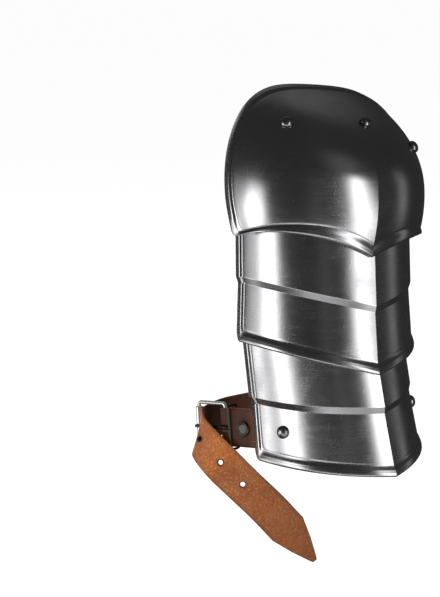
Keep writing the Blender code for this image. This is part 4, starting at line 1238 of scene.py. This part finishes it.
# Straps' routes
def shoulder_route(rivet_place):
    """Stations of the shoulder strap, its tip, the buckle's place, and the holes' middles."""
    turn = rivet_place.to_3x3()
    at, n = rivet_place.translation, turn @ Vector((0, 0, 1))
    depth = LINING + COP_LINING + LEATHER_T + STRAP_SEAT + SHOULDER_T + GAP + SHOULDER_T / 2
    start = at - n * depth
    side = turn @ Vector((1, 0, 0))
    level_side = Vector((side.x, side.y, 0)).normalized()
    down = side.cross(n).normalized()
    down = down if down.z < 0 else -down
    hang = start + down * 0.014 + Vector((0, 0.0015, -0.004))
    tip = Vector((hang.x, hang.y + 0.002, start.z - SHOULDER_HANG))
    matrix = place_matrix(COP)
    roof = []
    for x, y, z, drop in ROOF:
        spot = cop_along(Vector((x, y, z)).normalized())
        out = matrix.to_3x3() @ skin_normal("cop", degrees(atan2(spot.x, -spot.y)), spot.z)
        roof.append((matrix @ spot - out * (WALL + drop), out))
    place = buckle_place(roof[0][0], (roof[0][0] - roof[1][0]).normalized(), -roof[0][1])
    fold = fold_stations(place, SHOULDER_T, SHOULDER_W, SHOULDER_FOLD)
    stop = start + n * (SHOULDER_T + GAP)
    half = side * SHOULDER_W / 2
    rows = [(stop + down * 0.011, half, n), (stop - down * 0.004, half, n)] + fold[1:-1]
    rows += [(start - down * 0.004, half, -n), (start + down * 0.008, half, -n)]
    inward = Vector((-level_side.y, level_side.x, 0))
    for k in (0.0, 0.25, 0.5, 0.75, 1.0):
        rows.append((hang.lerp(tip, k * 0.86), level_side * SHOULDER_W / 2, inward))
    first, pitch = SHOULDER_HOLES
    holes = [Vector((hang.x, hang.y, start.z - first - k * pitch)) for k in range(SHOULDER_HOLE_COUNT)]
    return rows, tip, place, holes


def shoulder_strap():
    """Shoulder strap and its open buckle."""
    middle = PLACES["cop_rivet_middle"]
    rows, tip, place, holes = shoulder_route(middle)
    strap = fine_ribbon("shoulder_strap_leather", fine_route(rows, tip), SHOULDER_T, SHOULDER_LEATHER,
                        "shoulder_strap", holes)
    tools = [slot_tool(place, SLOT_LOW)]
    for spot in holes:
        tools.append(round_tool(STRAP_HOLE_R, spot - Vector((0, 0.008, 0)), spot + Vector((0, 0.010, 0))))
    tools.append(round_tool(HOLE_R, middle @ Vector((0, 0, 0.004)), middle @ Vector((0, 0, -0.018))))
    punch(strap, tools)
    fine_buckle("shoulder_buckle", place, SHOULDER_FRAME, ("shoulder_buckle", "shoulder_prong",
                                                           "shoulder_roller"), NICKEL, SHOULDER_PRONG_OVER)


def arm_strap():
    """Arm strap, fastened, with its buckle and keeper. Gives the buckle's place."""
    place = buckle_place(ARM_BUCKLE_AT, ARM_BUCKLE_AHEAD, ARM_BUCKLE_OUT)
    rows = fine_route(arm_stations(place), tail_point(TAIL[-1][0]))
    spots = [tail_point(TAIL[k][0]) for k in TAIL_HOLE_STATIONS]
    strap = fine_ribbon("arm_strap_leather", rows, ARM_T, ARM_LEATHER, "arm_strap", spots)
    tools = [slot_tool(place, ARM_SLOT_LOW)]
    for k, at in zip(TAIL_HOLE_STATIONS, spots):
        face = Vector(TAIL[k][2]).normalized() * 0.006
        tools.append(round_tool(STRAP_HOLE_R, at - face, at + face))
    tools.append(round_tool(PRONG_HOLE_R, place @ Vector(PRONG_HOLE_FROM), place @ Vector(PRONG_HOLE_TO)))
    punch(strap, tools)
    fine_buckle("arm_buckle", place, ARM_FRAME, ("pauldron",) * 3, SHADED_WIRE, ARM_PRONG_OVER)
    wide, high = ARM_W / 2 + KEEPER_ROOM[0], ARM_T + KEEPER_ROOM[1]
    run = [place @ Vector((-KEEPER_BACK, y, z)) for y, z in corner_run(-wide, wide, high, KEEPER_BEND, 4)]
    fine_wire("arm_keeper_wire", run, KEEPER_R, SHADED_WIRE, "arm_keeper")
    return place


def fold_rivet(place):
    """Rivet through the arm strap's fold, with its cap and washer."""
    fold = place @ Matrix.Translation((-FOLD_RIVET_BACK, 0, ARM_T + GAP / 2))
    fine_washer("arm_fold_washer", fold, 2 * ARM_T + 2 * GAP, FOLD_WASHER_R)
    low = -(2 * ARM_T + 3 * GAP + WASHER_T)
    profile = [(radius, GAP + high) for radius, high in FOLD_CAP]
    profile += [(SHANK_R, GAP), (SHANK_R, low), (PEEN_R, low), (PEEN_R * 0.9, low - PEEN_T * 0.8),
                (0.0, low - PEEN_T * 1.1)]
    turned("arm_fold_rivet_cap", profile, 40, fold, SHADED_WIRE, "arm_fold_rivet")


def rivets():
    """Rivets of the plates, each with its washer."""
    for name, plate, angle, height, head in RIVETS:
        if name.startswith("arm"):
            depth = LINING + ARM_T + ARM_SEAT
        else:
            depth = LINING + LEATHER_T + LEATHER_SEAT + crease(plate, angle, height)
            if plate == "cop":
                depth += COP_SEAT
            if name == "cop_rivet_middle":
                depth += 2 * SHOULDER_T + GAP + FOLD_SEAT
        place = PLACES[name]
        fine_washer(name.replace("rivet", "washer"), place, depth)
        fine_rivet(name, place, depth + WASHER_T + GAP, head)


def build_pieces():
    cop_plate()
    lame_plate("upper")
    lame_plate("lower")
    for side in ("left", "middle", "right"):
        fine_leather(side)
    shoulder_strap()
    arm_place = arm_strap()
    rivets()
    fold_rivet(arm_place)


# Studio
def soften(data, soft_wide, soft_tall):
    """Let a soft box fade toward its edges."""
    data.use_nodes = True
    nodes, links = data.node_tree.nodes, data.node_tree.links
    split = nodes.new("ShaderNodeSeparateXYZ")
    links.new(nodes.new("ShaderNodeNewGeometry").outputs["Parametric"], split.inputs[0])
    last = None
    for socket, soft in ((split.outputs[0], soft_wide), (split.outputs[1], soft_tall)):
        for low, high in ((0.0, soft), (1.0, 1.0 - soft)):
            fade = nodes.new("ShaderNodeMapRange")
            fade.interpolation_type = "SMOOTHSTEP"
            fade.inputs["From Min"].default_value = low
            fade.inputs["From Max"].default_value = high
            links.new(socket, fade.inputs["Value"])
            if last is None:
                last = fade.outputs["Result"]
                continue
            product = nodes.new("ShaderNodeMath")
            product.operation = "MULTIPLY"
            links.new(last, product.inputs[0])
            links.new(fade.outputs["Result"], product.inputs[1])
            last = product.outputs[0]
    links.new(last, nodes["Emission"].inputs["Strength"])


def toward(azimuth, elevation):
    """Way out to a light or the camera. Azimuth in degrees from -Y, positive toward +X."""
    a, e = radians(azimuth), radians(elevation)
    return Vector((sin(a) * cos(e), -cos(a) * cos(e), sin(e)))


def area_light(name, azimuth, elevation, distance, width, height, power):
    """Soft box that faces the middle of the plates."""
    data = bpy.data.lights.new(name, "AREA")
    data.shape = "RECTANGLE"
    data.size, data.size_y = width, height
    data.energy = power
    lamp = bpy.data.objects.new(name, data)
    bpy.context.scene.collection.objects.link(lamp)
    way = toward(azimuth, elevation)
    lamp.location = AIM + way * distance
    lamp.rotation_mode = "QUATERNION"
    lamp.rotation_quaternion = way.to_track_quat("Z", "Y")
    lamp.visible_camera = False
    return lamp


# Where the lights aim, and the camera's middle, way out and distance
AIM = Vector((-0.0075, 0.0155, -0.135))
VIEW_AT = Vector((-0.0075, 0.0155, -0.116))
VIEW_AZIMUTH, VIEW_ELEVATION, VIEW_DISTANCE = -35.0, 8.0, 1.7
# The photograph's size, the focal length in its pixels, and the pixel that shows the camera's middle
IMAGE_W, IMAGE_H = 440, 597
FOCAL_PIXELS = 2048.0
VIEW_PIXEL = (314.5, 240.0)
FLOOR_Z = -0.3875
FLOOR_TONE = 0.16
FLOOR_GLOW = 0.97
WORLD_LIGHT = 0.032
# Soft boxes: name, azimuth, elevation, distance, width, height, brightness, soft share of width and of height
LAMPS = (
    ("front_strip", 7.0, -3.0, 2.2, 1.05, 3.5, 3.4, 0.50, 0.35),
    ("left_dim", -34.0, 4.0, 2.4, 0.9, 3.0, 0.05, 0.50, 0.40),
    ("side_box", -99.0, -7.0, 2.0, 1.12, 1.90, 4.0, 0.40, 0.50),
    ("side_next", -119.0, -6.0, 2.0, 0.95, 1.70, 0.8, 0.35, 0.50),
    ("side_low", -128.0, -20.0, 2.0, 0.90, 1.00, 2.0, 0.45, 0.40),
    ("right_fill", 70.0, 2.0, 2.4, 0.9, 2.4, 0.26, 0.50, 0.40),
    ("back_dim", 150.0, 45.0, 2.4, 2.6, 2.0, 0.10, 0.40, 0.40),
    ("haze", 6.0, 50.0, 2.4, 1.9, 2.2, 0.10, 0.50, 0.50),
    ("back_box", 180.0, 4.0, 2.3, 1.2, 2.4, 2.6, 0.40, 0.40),
    ("low_front", -45.0, -28.0, 1.8, 3.2, 0.50, 2.0, 0.20, 0.50),
    ("ground_glow", -35.0, -50.0, 1.8, 2.6, 0.9, 0.9, 0.30, 0.40),
)
# Lights that no gloss shows: name, azimuth, elevation, distance, width, height, power
FILLS = (
    ("fill", -62.0, 42.0, 2.0, 1.0, 1.0, 30.0),
    ("back_fill", 165.0, 22.0, 2.2, 1.6, 1.6, 36.0),
    ("back_fill", -150.0, 22.0, 2.2, 1.6, 1.6, 26.0),
)


def studio():
    floor_mesh = bpy.data.meshes.new("floor")
    work = bmesh.new()
    bmesh.ops.create_circle(work, cap_ends=True, radius=30.0, segments=96)
    work.to_mesh(floor_mesh)
    work.free()
    floor = bpy.data.objects.new("floor", floor_mesh)
    floor.location = (0, 0, FLOOR_Z)
    bpy.context.scene.collection.objects.link(floor)
    n = Nodes("floor_pale")
    n.set(Base_Color=(FLOOR_TONE, FLOOR_TONE, FLOOR_TONE, 1), Roughness=0.9, Emission_Color=(1, 1, 1, 1),
          Emission_Strength=FLOOR_GLOW)
    floor_mesh.materials.append(n.material)
    floor.visible_glossy = False
    floor.visible_diffuse = False
    floor.visible_shadow = False

    world = bpy.data.worlds.new("studio")
    bpy.context.scene.world = world
    world.use_nodes = True
    tree = world.node_tree
    ground = tree.nodes["Background"]
    pale = tree.nodes.new("ShaderNodeBackground")
    for node, strength in ((ground, WORLD_LIGHT), (pale, 1.0)):
        node.inputs["Color"].default_value = (1, 1, 1, 1)
        node.inputs["Strength"].default_value = strength
    path = tree.nodes.new("ShaderNodeLightPath")
    mix = tree.nodes.new("ShaderNodeMixShader")
    tree.links.new(path.outputs["Is Camera Ray"], mix.inputs[0])
    tree.links.new(ground.outputs[0], mix.inputs[1])
    tree.links.new(pale.outputs[0], mix.inputs[2])
    tree.links.new(mix.outputs[0], tree.nodes["World Output"].inputs["Surface"])

    for name, azimuth, elevation, distance, wide, tall, radiance, soft_wide, soft_tall in LAMPS:
        lamp = area_light(name, azimuth, elevation, distance, wide, tall, radiance * pi * wide * tall)
        soften(lamp.data, soft_wide, soft_tall)
    for row in FILLS:
        area_light(*row).visible_glossy = False

    data = bpy.data.cameras.new("camera")
    camera = bpy.data.objects.new("camera", data)
    bpy.context.scene.collection.objects.link(camera)
    back = toward(VIEW_AZIMUTH, VIEW_ELEVATION)
    side = toward(VIEW_AZIMUTH + 90.0, 0.0)
    turn = Matrix((side, back.cross(side), back)).transposed().to_4x4()
    camera.matrix_world = Matrix.Translation(VIEW_AT + back * VIEW_DISTANCE) @ turn
    data.sensor_width = 36.0
    data.lens = FOCAL_PIXELS / IMAGE_H * data.sensor_width
    data.shift_x = -(VIEW_PIXEL[0] - IMAGE_W / 2) / IMAGE_H
    data.shift_y = (VIEW_PIXEL[1] - IMAGE_H / 2) / IMAGE_H
    data.clip_end = 100.0
    bpy.context.scene.camera = camera
    bpy.context.scene.view_settings.view_transform = "Standard"


PLACES = rivet_places()
build_pieces()
studio()
